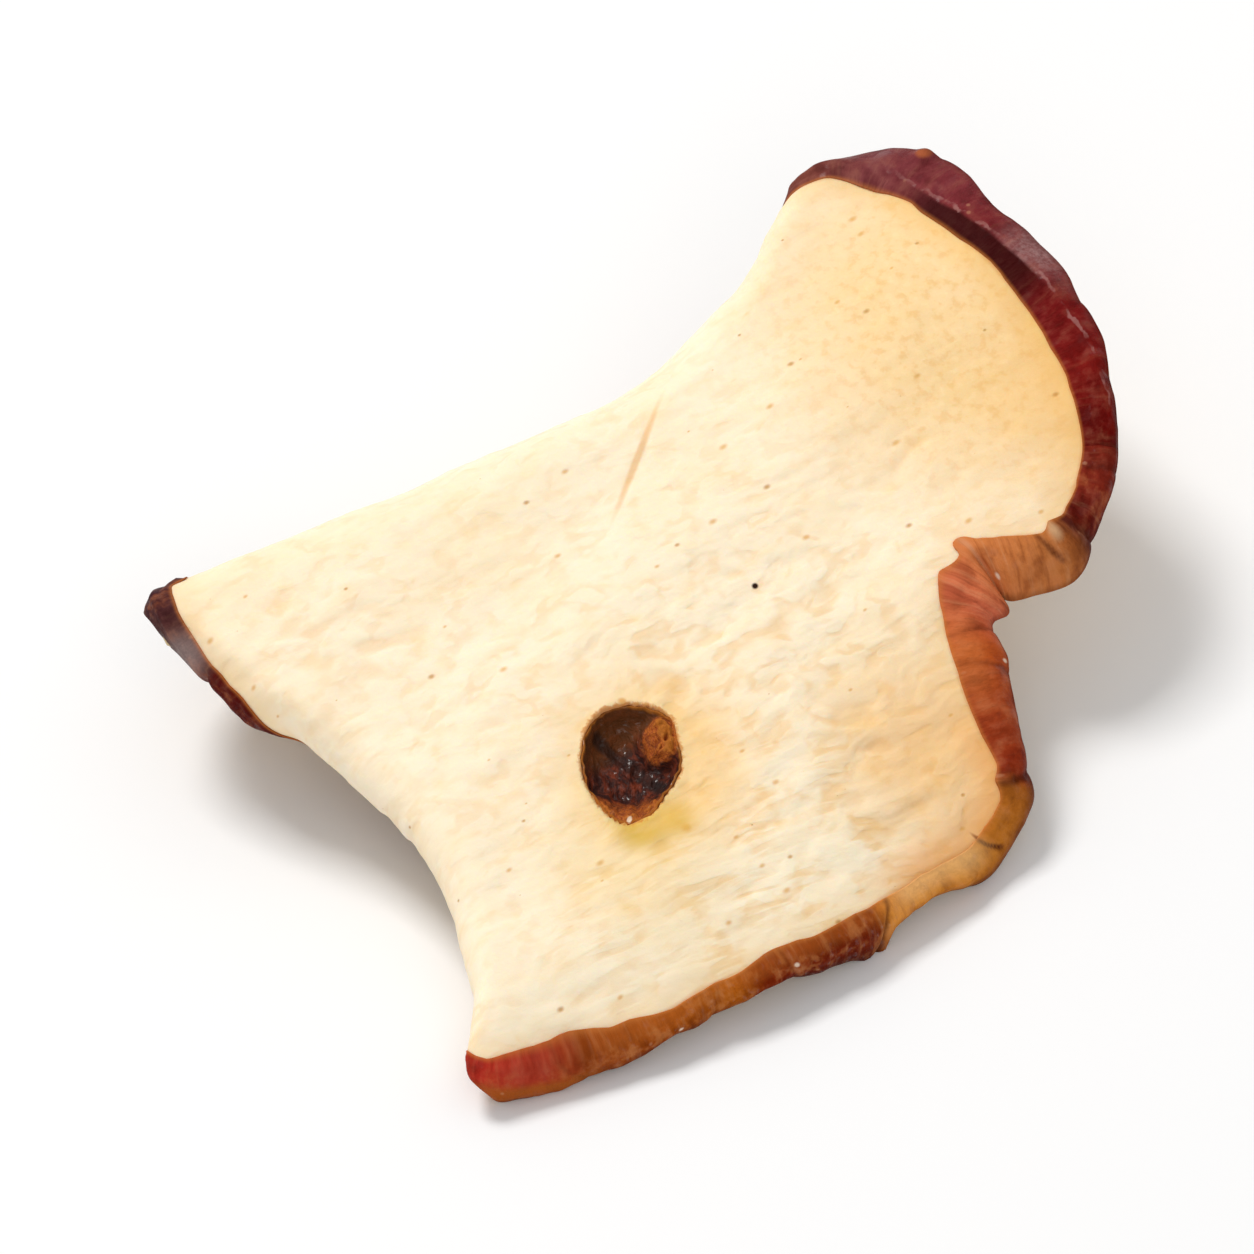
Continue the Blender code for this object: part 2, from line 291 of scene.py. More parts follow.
line, rows, spacing = rim_line()
width, slope, thick = (evened(rim_size(rows, [r[k] for r in RIM]), 1.0, spacing)[:, None] for k in (4, 5, 6))
slope = np.radians(slope)
heading = unit(np.roll(line, -1, 0) - np.roll(line, 1, 0))
side = np.stack([heading[:, 1], -heading[:, 0]], -1)
edge = sheet(*line.T)
up = unit(evened(outward(*line.T), FAN, spacing))
out = unit(evened(edge - sheet(*(line - 0.3 * side).T), FAN, spacing))
out = unit(out - up * (out * up).sum(-1, keepdims=True))
down = np.cos(slope) * out - np.sin(slope) * up
away = np.cos(slope) * up + np.sin(slope) * out
around = np.arange(FINE) / FINE
swell = sum(size * np.sin(count * 2 * np.pi * around + start) for size, count, start in KNUCKLES)[:, None]
lower = edge + width * down + swell * (0.6 * out - 0.8 * up)
rim_length = spacing * FINE
print("the rim is", round(rim_length), "mm long and", round(float(width.mean()), 1), "mm wide on average")


def place_of(name, share=0.0):
    """Where a row of RIM lies round the rim, from 0 to 1. share goes on towards the next row."""
    row = [r[0] for r in RIM].index(name) + share
    return float(around[np.argmin(np.abs(rows - row))])


# %% [markdown]
# ## Wrinkles
# Drying shrinks the flesh unevenly, which leaves soft pillows, short curved creases in the middle, a groove
# above it and puckers at the rim. These are real relief on the mesh, and only the finest crepe is left to
# the material. They come from smooth random hills, made by hand here so that they can be stretched along
# the real wrinkles' direction.


# %% Smooth random hills
def hills(x, y, seed):
    """Hills one unit apart, between about -1 and 1."""
    angle = np.random.default_rng(seed).uniform(0, 2 * np.pi, (64, 64))
    i, j = np.floor(x).astype(int), np.floor(y).astype(int)
    total = np.zeros(np.shape(x))
    for di in (0, 1):
        for dj in (0, 1):
            dx, dy = x - i - di, y - j - dj
            a = angle[(i + di) % 64, (j + dj) % 64]
            fade = (1 - ease(np.abs(dx))) * (1 - ease(np.abs(dy)))
            total += fade * (np.cos(a) * dx + np.sin(a) * dy)
    return 1.6 * total


def along_and_across(x, y, angle):
    """Distances along a direction, given in degrees, and across it."""
    a = np.radians(angle)
    return x * np.cos(a) + y * np.sin(a), y * np.cos(a) - x * np.sin(a)


def stretched(x, y, angle, across, along, seed):
    """Hills that run along an angle, in degrees, with a size across and along them in millimetres."""
    u, v = along_and_across(x, y, angle)
    return hills(u / along + 31.7, v / across + 17.3, seed)


def spot(x, y, px, py, reach_x, reach_y, angle=0.0):
    """1 in the middle of an oval and 0 well outside it."""
    u, v = along_and_across(x - px, y - py, angle)
    return np.exp(-((u / reach_x) ** 2) - (v / reach_y) ** 2)


def pocket_edge(turn):
    angles, shares = np.array(POCKET_KINKS, float).T
    return np.interp(np.degrees(turn), angles, shares, period=360)


def pocket_distance(x, y):
    """0 at the middle of the seed pocket, 1 at its edge."""
    v = (y - POCKET[1]) / POCKET_HALF_LENGTH
    u = (x - POCKET[0]) / (POCKET_HALF_WIDTH * (1 + POCKET_NARROWING * np.clip(v, -1, 1)))
    return np.hypot(u, v) / pocket_edge(np.arctan2(v, u))


# %% Relief of the cut face
GRAIN = 34.0  # the direction of most wrinkles, in degrees
GROOVE = ((1.9, 16.6), (-0.9, 7.6))
PILLOWS_HIGH, RIPPLES_HIGH, GRAINS_HIGH = 0.22, 0.17, 0.03
PUCKERS_HIGH, RAYS_HIGH, LIP_HIGH = 0.10, 0.07, 0.10
CREASES_DEEP, DASHES_DEEP, GROOVE_DEEP = 0.14, 0.08, 0.10


def near_line(x, y, a, b):
    """Distance to the straight line between two points, and how far along it, 0 to 1."""
    (ax, ay), (bx, by) = a, b
    t = np.clip(((x - ax) * (bx - ax) + (y - ay) * (by - ay)) / ((bx - ax) ** 2 + (by - ay) ** 2), 0, 1)
    return np.hypot(x - ax - t * (bx - ax), y - ay - t * (by - ay)), t


def dents(hill):
    """Only the low parts of hills, from 0 to 1 deep, so that they are short creases that lie apart."""
    return ease((-0.02 - hill) / 0.6)


def face_relief(x, y, inland, s):
    """Height of the face over the smooth sheet, in millimetres, and how creased it is there, 0 to about 1."""
    wander = 0.9 * hills(x / 5, y / 5, 11)
    wx, wy = x + wander, y + 1.1 * hills(x / 5, y / 5, 12)
    wrinkled = 0.35 + 0.9 * spot(x, y, 11, -5.5, 11, 9) + 0.5 * spot(x, y, -17, -7, 9, 9)
    wrinkled = wrinkled * (0.4 + 0.9 * ease(0.5 + hills(x / 5, y / 5, 13)))
    pillows = PILLOWS_HIGH * hills(x / 6.5, y / 6.5, 1)
    pillows = pillows + RIPPLES_HIGH * wrinkled * stretched(wx, wy, GRAIN, 2.0, 3.2, 2)
    crease = dents(stretched(wx, wy, GRAIN, 1.5, 3.0, 3))
    lined = 0.4 + spot(x, y, 7, -19, 17, 8, 27) + 0.5 * spot(x, y, 12, 12, 13, 10)
    lined = lined * (0.3 + 1.0 * ease(0.5 + hills(x / 3, y / 3, 14)))
    dash = dents(stretched(wx, wy, GRAIN, 1.1, 2.9, 4))
    ring = pocket_distance(x, y)
    turn = np.arctan2(y - POCKET[1], x - POCKET[0])
    rays = np.sin(17 * turn + 2.2 * hills(2 * turn, ring, 6))
    rays = rays * np.exp(-((ring - 1.3) ** 2) / 0.25) * (0.5 + 0.5 * np.cos(turn + 0.3))
    distance, t = near_line(x + 0.5 * hills(x / 3, y / 3, 15), y, *GROOVE)
    groove = np.exp(-((distance / 0.34) ** 2)) * np.sin(np.pi * (0.1 + 0.8 * t))
    puckers = PUCKERS_HIGH * np.exp(-inland / 2.4) * hills(s * rim_length / 2.1, inland / 9, 5)
    lip = LIP_HIGH * np.exp(-((ring - 1.02) ** 2) / 0.01)
    grains = GRAINS_HIGH * hills(x / 0.9, y / 0.9, 7)
    calm = 0.35 + 0.65 * ease(inland / 3.0)
    high = calm * (pillows + grains - CREASES_DEEP * wrinkled * crease - DASHES_DEEP * lined * dash)
    high = high + puckers + RAYS_HIGH * rays - GROOVE_DEEP * groove + lip
    return high, calm * (wrinkled * crease + 0.45 * lined * dash) + 0.35 * groove + 0.3 * np.maximum(-rays, 0)


def under_relief(x, y):
    return 0.28 * hills(x / 5.5, y / 5.5, 21) + 0.12 * stretched(x, y, 70, 1.5, 4.5, 22)


trial = face_relief(np.linspace(-10, 20, 200), np.full(200, -5.5), np.full(200, 9.0), np.zeros(200))[0]
print("across the middle, the face rises and falls by", round(float(np.ptp(trial)), 2), "mm")

# %% [markdown]
# ## Ridges, nicks and laps
# While the fruit dried, the skin shrank less than the flesh, so it buckled. Most of it stands up in a sharp
# lengthwise ridge with flat facets on both sides, and in the throat of the notch it's rounded like a tube.
# Across it run pleats, and a few deep nicks where it folded sharply. In places its edge laps over the
# flesh. How strongly each kind shows is written for every row of the rim, and nicks and laps are listed
# with their places.

# %% How the skin buckles
#    bulge, pleat depth, ridge height, and the ridge's place across: a row for each row of RIM
SKIN_FORM = (
    (0.35, 0.10, 0.30, 0.90),
    (0.10, 0.07, 0.80, 0.50),
    (0.35, 0.06, 0.25, 0.30),
    (0.20, 0.08, 0.40, 0.40),
    (0.35, 0.10, 0.35, 0.50),
    (0.40, 0.10, 0.35, 0.50),
    (0.40, 0.10, 0.35, 0.50),
    (0.25, 0.10, 0.35, 0.50),
    (0.05, 0.06, 0.50, 0.40),
    (0.20, 0.10, 0.40, 0.50),
    (0.40, 0.12, 0.20, 0.50),
    (0.45, 0.12, 0.20, 0.50),
    (0.60, 0.12, 0.15, 0.45),
    (0.65, 0.13, 0.15, 0.45),
    (0.65, 0.12, 0.10, 0.45),
    (0.55, 0.12, 0.15, 0.45),
    (0.75, 0.12, 0.10, 0.50),
    (0.85, 0.10, 0.05, 0.50),
    (0.30, 0.08, 0.10, 0.50),
    (0.50, 0.10, 0.30, 0.50),
)
#       row of RIM, share towards the next, slant in mm, depth, half width, how far it reaches across the skin
#       from the flesh, and how pale it is (dark below 0): pale is a painted highlight, dark is painted shade
#           and crack
NICKS = (
    ("lobe, shoulder", -0.05, 1.6, 0.25, 0.35, 1.0, 0.0),
    ("lobe, right", 0.62, -2.0, 0.25, 0.30, 1.0, 0.0),
    ("lobe, crown", 0.15, -0.8, 0.22, 0.45, 1.0, -0.2),
    ("left tip", 0.72, 0.8, 0.35, 0.30, 1.0, 0.3),
    ("left tip, front", 0.45, -0.6, 0.20, 0.40, 1.0, -0.2),
    ("front tip", 0.38, 2.4, 0.20, 0.40, 1.0, -0.3),
    ("front edge", 0.02, -0.8, 0.25, 0.35, 1.0, -0.2),
    ("front edge", 0.33, 0.6, 0.22, 0.30, 1.0, -0.3),
    ("front edge", 0.74, -1.5, 0.45, 0.30, 1.0, -0.5),
    ("corner, front", 0.60, 1.7, 0.25, 0.20, 0.40, -0.7),
    ("corner, back", 0.10, 1.2, 0.50, 0.50, 1.0, -0.5),
    ("throat, front", 0.30, -0.9, 0.25, 0.45, 1.0, -0.3),
    ("throat, front", 0.75, 1.1, 0.28, 0.40, 1.0, -0.3),
    ("throat", 0.15, -0.5, 0.22, 0.35, 1.0, -0.2),
    ("notch", 0.08, 0.7, 0.55, 0.45, 1.0, 0.5),
    ("notch", 0.93, 1.4, 0.40, 0.32, 0.45, -0.5),
    ("elbow", 0.22, 0.5, 0.45, 0.24, 1.0, -0.5),
    ("elbow", 0.82, 0.3, 0.35, 0.35, 1.0, -0.4),
)
NICK_END = 0.25  # share of the skin's width over which a short nick ends
#    row of RIM, share, reach over the flesh in mm, and how far it tapers off before and after
LAPS = (
    ("left tip, back", 0.80, 0.7, 1.6, 1.0),
    ("throat", 0.40, 0.9, 2.6, 1.9),
    ("notch", -0.05, 0.5, 0.6, 1.4),
    ("elbow", 0.05, 0.4, 1.2, 1.6),
    ("corner, back", 0.05, 0.4, 1.6, 1.2),
    ("lobe, crown", 0.35, 0.4, 3.0, 4.0),
    ("front tip", 0.35, 0.8, 7.0, 9.0),
    ("front edge", 0.30, 0.5, 4.0, 4.0),
)
#    the same for its lower edge, which hangs down there
HANGS = (("front edge", 0.72, 1.5, 5.5, 1.3), ("lobe, crown", 0.2, 1.1, 6, 8))
print("the skin has", len(NICKS), "nicks and", len(LAPS), "laps")


def kinked(run, step, seed):
    """A broken line round the rim, between -1 and 1, with a kink about every step millimetres."""
    random = np.random.default_rng(seed)
    count = round(rim_length / step)
    kinks = (np.arange(count) + random.uniform(-0.35, 0.35, count)) * rim_length / count
    return np.interp(run, kinks, random.uniform(-1, 1, count), period=rim_length)


def run_from(s, name, share):
    """Millimetres along the rim from a place, negative before it."""
    return ((s - place_of(name, share) + 0.5) % 1 - 0.5) * rim_length


def bump_along(s, name, share, before, after):
    """1 at a place on the rim, falling to 0 over the millimetres given before and after it."""
    d = run_from(s, name, share)
    return ease(1 - np.where(d < 0, -d / before, d / after))


def skin_form(s, column):
    """A column of SKIN_FORM, read round the rim."""
    return rim_size(rows, [r[column] for r in SKIN_FORM])[(s * FINE).astype(int) % FINE]


def ridge_place(s):
    return np.clip(skin_form(s, 3) + 0.07 * kinked(s * rim_length, 3.7, 53), 0.1, 0.95)


def nick_light_and_shade(s, q):
    """Above 0 where a nick carries a painted highlight, below 0 where it is dark, partly painted shade in the
    fold and partly a dark crack.
    """
    total = 0 * q
    for name, share, slant, _, half, reach, pale in NICKS:
        off = run_from(s, name, share) - slant * (q - 0.5) + 0.12 * hills(3 * q, s * rim_length, 35)
        off = np.exp(-((off / (0.6 * half + 0.06)) ** 2))
        total = total + pale * off * (1 - ease((q - reach) / NICK_END))
    return total


def skin_relief(s, q):
    """Height of the folds over the plain ribbon, in millimetres. s and q run round the rim and across it."""
    bulge, pleat, ridge = (skin_form(s, column) for column in range(3))
    run = s * rim_length
    q = np.clip(q, 0, 1)
    top = ridge_place(s)
    tent = soft_min(q / top, (1 - q) / (1 - top), 0.22)
    high = bulge * 4 * q * (1 - q) + ridge * (1 + 0.45 * kinked(run, 3.1, 54)) * tent
    bend = 0.9 * hills(run / 3.1, q * 1.3, 31)
    high = high + pleat * ease(5 * q) * hills((run + bend) / 1.15, q * 0.9, 32)
    high = high - 0.9 * pleat * ease(5 * q) * np.abs(hills((run + bend) / 2.6, q * 1.1 + 4, 33))
    high = high + 0.12 * hills(run / 4.5, q * 2.4, 34) * np.sin(np.pi * q)
    high = high + 0.4 * bump_along(s, "lobe, crown", 0.2, 0.7, 0.7) * ease(1 - np.abs(q - 0.93) / 0.2)
    for name, share, slant, depth, half, reach, _ in NICKS:
        off = np.abs(run_from(s, name, share) - slant * (q - 0.5))
        high = high - depth * np.exp(-off / half) * ease(4 * q - 0.4) * (1 - ease((q - reach) / NICK_END))
    return high


# %% [markdown]
# ## The flesh
# The flesh is the whole body of the slice. It starts as a flat grid whose columns become spokes and whose
# rows become rings: the upper ones spread over the cut face, the middle ones turn over the rim and the
# lower ones run back below. The two ends of the grid then meet, and Merge by Distance sews them and closes
# both middles. A UV sphere would give the same, but takes far longer to make this fine. Each point keeps a
# few values for the colours: its place on the flat slice, its distances from the rim and the seed pocket,
# its side, and how creased it is there.

# %% Rings of the flesh
SPOKES = 640
FACE_RINGS, RIM_RINGS, UNDER_RINGS = 112, 10, 29
POCKET_DEPTH = 1.5
CROWDING = 1.12  # above 1, rings of the face lie closer towards the rim
TUCK = 0.40  # how far the flesh lies under the skin
FAR_BELOW = 60.0  # keeps the marks of the face off the underside
MIDDLE_INLAND = 25.0  # how far the middle counts as lying from the rim


def pocket_drop(x, y):
    return (POCKET_DEPTH + 0.5) * ease((1.03 - pocket_distance(x, y)) / 0.1)


pick = np.arange(SPOKES) * FINE // SPOKES
middle = np.array(MIDDLE)
rings, flats, inlands, sides, reliefs = [], [], [], [], []


def add_ring(points, flat, inland, side_up, creased=0.0):
    rings.append(points)
    flats.append(flat)
    inlands.append(inland)
    sides.append(np.full(len(points), side_up))
    reliefs.append(np.zeros(len(points)) + creased)


def nearest_rim(flat):
    """How far points of the flat slice lie from the rim, and where round it."""
    apart = np.linalg.norm(flat[:, None] - line[None, ::4], axis=2)
    return apart.min(axis=1), around[::4][apart.argmin(axis=1)]


for k in range(1, FACE_RINGS + 1):
    t = 1 - (1 - k / FACE_RINGS) ** CROWDING
    flat = middle + (line[pick] - middle) * t
    inland, nearest = nearest_rim(flat)
    high, creased = face_relief(*flat.T, inland, nearest)
    rise = high - pocket_drop(*flat.T)
    add_ring(sheet(*flat.T) + rise[:, None] * outward(*flat.T), flat, inland, 1.0, creased)
rim_rise = face_relief(*line.T, np.zeros(FINE), around)[0][:, None] * up
sunk = edge - thick * up
for k in range(1, RIM_RINGS + 1):
    q = k / RIM_RINGS
    tucked = skin_relief(around, np.full(FINE, q)) - TUCK * ease(5 * q)
    body = edge + (lower - edge) * q + tucked[:, None] * away + (1 - q) * rim_rise
    add_ring(body[pick], line[pick], -q * width[pick, 0], 1.0 - q)
for k in range(1, UNDER_RINGS):
    t = 1 - 0.03 - 0.97 * (k - 0.6) / (UNDER_RINGS - 0.6)
    flat = middle + (line[pick] - middle) * t
    core = CORE_BULGE * mound(*flat.T, *POCKET, CORE_SPREAD)
    deep = FLESH + (thick[pick, 0] - FLESH) * ease((t - 0.7) / 0.3) + core + under_relief(*flat.T)
    below = sheet(*flat.T) - deep[:, None] * outward(*flat.T)
    below = below + ease((t - 0.75) / 0.25) * (lower - sunk)[pick]
    add_ring(below, flat, nearest_rim(flat)[0], 0.0)
poles = [on_ground(sheet(*middle) + level * outward(*middle)) for level in (0.0, -FLESH)]
print(len(rings), "rings of", SPOKES, "points")


# %% A grid that is rolled up and sewn
def lay_grid(name, points, across=None):
    """A mesh grid on rows of points. Its UV map runs round it and up the rows, evenly or as across says."""
    row_count, column_count = points.shape[:2]
    bpy.ops.object.select_all(action="DESELECT")
    bpy.ops.mesh.primitive_grid_add(x_subdivisions=column_count - 1, y_subdivisions=row_count - 1, size=2)
    obj = bpy.context.object
    obj.name = obj.data.name = name
    at = np.empty(len(obj.data.vertices) * 3)
    obj.data.vertices.foreach_get("co", at)
    at = (at.reshape(-1, 3) + 1) / 2
    column = np.round(at[:, 0] * (column_count - 1)).astype(int)
    row = np.round(at[:, 1] * (row_count - 1)).astype(int)
    obj.data.vertices.foreach_set("co", (points[row, column] * MM).ravel())
    corners = np.empty(len(obj.data.loops), int)
    obj.data.loops.foreach_get("vertex_index", corners)
    up_rows = np.arange(row_count) / (row_count - 1) if across is None else across
    uv = np.column_stack([column / (column_count - 1), up_rows[row]])[corners]
    obj.data.uv_layers[0].data.foreach_set("uv", uv.ravel())
    obj.data.update()
    return obj, row, column


def sew(obj):
    """Merges what lies at the same place, which closes the grid."""
    bpy.ops.object.mode_set(mode="EDIT")
    bpy.ops.mesh.select_all(action="SELECT")
    bpy.ops.mesh.remove_doubles(threshold=1e-6)
    bpy.ops.object.mode_set(mode="OBJECT")
    bpy.ops.object.shade_smooth()
    print(obj.name, "has", len(obj.data.vertices), "points and", len(obj.data.polygons), "faces")


def close_rings(ring_points, pole_points):
    """Rows for a grid, from the pole below to the pole above, with the first spoke repeated at the end."""
    table = np.stack(ring_points)[::-1]
    bottom, top = (np.broadcast_to(pole, (1, *table.shape[1:])) for pole in (pole_points[1], pole_points[0]))
    table = np.concatenate([bottom, table, top])
    return np.concatenate([table, table[:, :1]], axis=1)


def give(obj, name, values):
    """Keeps a number or a vector at each vertex, for the material to read."""
    values = np.asarray(values, np.float32)
    kind = "FLOAT" if values.ndim == 1 else "FLOAT_VECTOR"
    layer = obj.data.attributes.new(name, kind, "POINT")
    layer.data.foreach_set("value" if kind == "FLOAT" else "vector", values.ravel())


# %% The flesh's mesh
flesh, row, column = lay_grid("slice_flesh", close_rings([on_ground(r) for r in rings], poles))


def at_points(values, above, below):
    """Numbers kept for the rings and the two poles, sorted like the points of the grid."""
    return close_rings([v[:, None] for v in values], [np.array([above]), np.array([below])])[row, column, 0]


flat_at = close_rings(flats, [middle, middle])[row, column]
side_at = at_points(sides, 1.0, 0.0)
give(flesh, "flat", np.column_stack([flat_at, FAR_BELOW * (side_at < 0.5)]))
give(flesh, "inland", at_points(inlands, MIDDLE_INLAND, MIDDLE_INLAND))
give(flesh, "top", side_at)
give(flesh, "pocket", pocket_distance(*flat_at.T) + FAR_BELOW * (side_at < 0.5))
give(flesh, "creased", at_points(reliefs, 0.0, 0.0))
sew(flesh)

# %% [markdown]
# ## The skin
# The skin is a leathery ribbon round the rim, about as wide as the slice was thick when it was cut. It's a
# grid again, rolled up both ways: round the rim, and across from its outer face to its inner one, which
# makes a closed shell.

# %% The ribbon
SKIN_AROUND, SKIN_ACROSS = 1440, 36
SKIN_THICKNESS = 0.26
SUNK_IN = 0.06  # how far its middle lies in the flesh
LAP = 0.16  # how far it laps over the flesh everywhere
HANG_WIDTH = 3.0  # the width that counts as 1 where its lower edge hangs
SKIN_WIDE = 2.8  # its usual width, which patterns on it reckon with
OVERHANG = 0.03  # how far its two edges reach past its width, as a share of it
LAP_ENDS = 0.12  # share of the skin's width that lies over the flesh where it laps


def round_rim(values, s):
    """Values known round the rim, read between its points."""
    place = (s % 1) * FINE
    i = np.floor(place).astype(int) % FINE
    t = (place - np.floor(place))[..., None]
    return values[i] * (1 - t) + values[(i + 1) % FINE] * t


def on_ring(s, q):
    """A place on the skin, bent into a plain ring on which patterns meet without a seam."""
    bearing, radius = 2 * np.pi * s, rim_length / (2 * np.pi)
    return np.stack([radius * np.cos(bearing), radius * np.sin(bearing), q * SKIN_WIDE], -1)


def summed(spots, s):
    """What a table of places round the rim adds up to, with each tapering off before and after its place."""
    return sum(most * bump_along(s, name, share, before, after) for name, share, most, before, after in spots)


# %% The ribbon's points and mesh
turn = np.linspace(2 * np.pi, 0, SKIN_ACROSS + 1)
s, turn = np.meshgrid(np.arange(SKIN_AROUND) / SKIN_AROUND, turn)
q = 0.5 - (0.5 + OVERHANG) * np.cos(turn)
shell = SKIN_THICKNESS / 2 * np.sign(np.sin(turn)) * np.abs(np.sin(turn)) ** 0.5
run = s * rim_length
hang = summed(HANGS, s) + 0.22 * kinked(run, 4.4, 51) + 0.08 * kinked(run, 1.7, 52)
lap = LAP + summed(LAPS, s) + 0.14 * kinked(run, 2.9, 55) + 0.06 * kinked(run, 1.1, 56)
start, end, lift, face_up = (round_rim(v, s) for v in (edge, lower, away, rim_rise))
inner = np.moveaxis(round_rim(line, s) - lap[..., None] * round_rim(side, s), -1, 0)
over_flesh = (face_relief(*inner, np.maximum(lap, 0), s)[0] + 0.04 + 0.1 * lap)[..., None] * outward(*inner)
to_inner = sheet(*inner) + over_flesh - start - face_up
reach = q + np.clip(q, 0, 1) ** 2 * hang / HANG_WIDTH
rise = skin_relief(s, q) + shell - SUNK_IN
points = start + (end - start) * reach[..., None] + rise[..., None] * lift
lapped = np.clip(1 - q / LAP_ENDS, 0, 1.2)
points = points + lapped[..., None] * to_inner
points = points + ((0.05 + 0.25 * lap) * 4 * np.clip(lapped * (1 - lapped), 0, 1))[..., None] * lift
points = points + (1 - np.clip(q, 0, 1))[..., None] * face_up
points = np.concatenate([points, points[:, :1]], axis=1)
skin, row, column = lay_grid("slice_skin", on_ground(points), q[:, 0])
give(skin, "along_skin", on_ring(column / SKIN_AROUND, q[row, 0]))
give(skin, "past_ridge", q[row, 0] - ridge_place(column / SKIN_AROUND))
give(skin, "nick_light_and_shade", nick_light_and_shade(column / SKIN_AROUND, q[row, 0]))
sew(skin)

# %% [markdown]
# ## The seed pocket
# Each seed of an apple sits in a pocket with a tough, shiny wall. Here one is cut open: a brown cup with a
# kinked edge. Its upper right wall has crumpled into a rough lump, parted from the smooth floor at the lower
# left by a crease with painted shade in it, and its front lip curls up into the light. The cup is one more
# grid of rings.

# %% The cup
CUP_SPOKES = 240
CUP_FLOOR, CUP_WALL = 34, 22  # rings
FLOOR_SHARE, WALL_SHARE = 0.80, 0.19  # of the way from the middle to the pocket's edge
FLOOR_RISE, CUP_BOTTOM = 0.55, -2.1
LUMP = (0.58, 0.50, 0.58, 0.52)  # place and half sizes, in shares of the pocket


def pocket_frame():
    x, y = (np.array([v]) for v in POCKET)
    centre, normal = sheet(x, y)[0], outward(x, y)[0]
    right = unit(np.cross([0, 1, 0], normal))
    return centre, right, np.cross(normal, right), normal


def cup_points(share, level, turn):
    """Points of the pocket at a share of its outline and a height over the face."""
    centre, right, back, normal = pocket_frame()
    share = share * pocket_edge(turn)
    across = share * POCKET_HALF_WIDTH * np.cos(turn) * (1 + POCKET_NARROWING * np.sin(turn))
    along = share * POCKET_HALF_LENGTH * np.sin(turn)
    return centre + np.outer(across, right) + np.outer(along, back) + np.outer(level, normal)


def lump_at(u, v):
    x, y, half_x, half_y = LUMP
    return ease(1.6 * (1 - np.hypot((u - x) / half_x, (v - y) / half_y)))


# %% The cup's rings and mesh
turn = np.arange(CUP_SPOKES) * 2 * np.pi / CUP_SPOKES
ragged = 0.03 * sum(hills(n * np.cos(turn) + 9, n * np.sin(turn) + 9, seed) for n, seed in ((3, 41), (8, 42)))
lip_level = 0.12 + 0.14 * hills(2 * np.cos(turn), 2 * np.sin(turn), 43) + 0.10 * np.maximum(0, -np.sin(turn))
cup_rings, cup_places = [], []
for k in range(1, CUP_FLOOR + CUP_WALL + 1):
    if k <= CUP_FLOOR:
        share = FLOOR_SHARE * k / CUP_FLOOR
        level = np.full(CUP_SPOKES, -POCKET_DEPTH + FLOOR_RISE * (k / CUP_FLOOR) ** 4)
    else:
        t = (k - CUP_FLOOR) / CUP_WALL
        share = FLOOR_SHARE + WALL_SHARE * t**0.7
        level = (-POCKET_DEPTH + FLOOR_RISE) * (1 - t) + lip_level * t
    u, v = share * np.cos(turn), share * np.sin(turn)
    inside = 1 - ease((share - 0.85) / 0.14)
    lump = lump_at(u, v)
    front_lip = 0.75 * ease((-v - 0.30) / 0.5) * inside
    crumple = 0.2 * hills(3.1 * u + 5, 3.1 * v + 5, 44) - 0.14 * np.abs(hills(6.5 * u, 6.5 * v, 45))
    crumbs = lump * (0.30 * hills(7 * u, 7 * v, 46) + 0.18 * hills(15 * u, 15 * v, 47))
    level = level + (crumple * (1 - lump) + crumbs) * (0.25 + 0.75 * inside)
    level = level + 1.15 * lump * inside + front_lip
    cup_rings.append(cup_points(share + ragged * ease(share / 0.9), level, turn))
    cup_places.append(np.column_stack([u, v, level]))
for share, level in ((1.035, 0.02), (1.03, -0.5), (0.95, -1.2), (0.8, -1.85), (0.4, -2.05)):
    level = np.full(CUP_SPOKES, level)
    cup_rings.append(cup_points(share + ragged, level, turn))
    cup_places.append(np.column_stack([share * np.cos(turn), share * np.sin(turn), level]))
depths = (-POCKET_DEPTH, CUP_BOTTOM)
cup_poles = [on_ground(cup_points(0.0, np.array([depth]), turn[:1])[0]) for depth in depths]
cup, row, column = lay_grid("pocket_cup", close_rings([on_ground(r) for r in cup_rings], cup_poles))
place_table = close_rings(cup_places, [np.array([0, 0, depth]) for depth in depths])
give(cup, "cup_place", place_table[row, column])
give(cup, "lump", lump_at(*place_table[row, column, :2].T))
sew(cup)

# %% [markdown]
# ## Finishes
# A finish is a small tree of shader nodes. To write its maths as plain expressions, one class wraps a
# socket: it turns +, - and * into Math nodes, and its methods add the patterns and masks that every finish
# needs. Another class holds the tree, makes any node from its type, settings and inputs, and lays one tint
# after another over its colour.


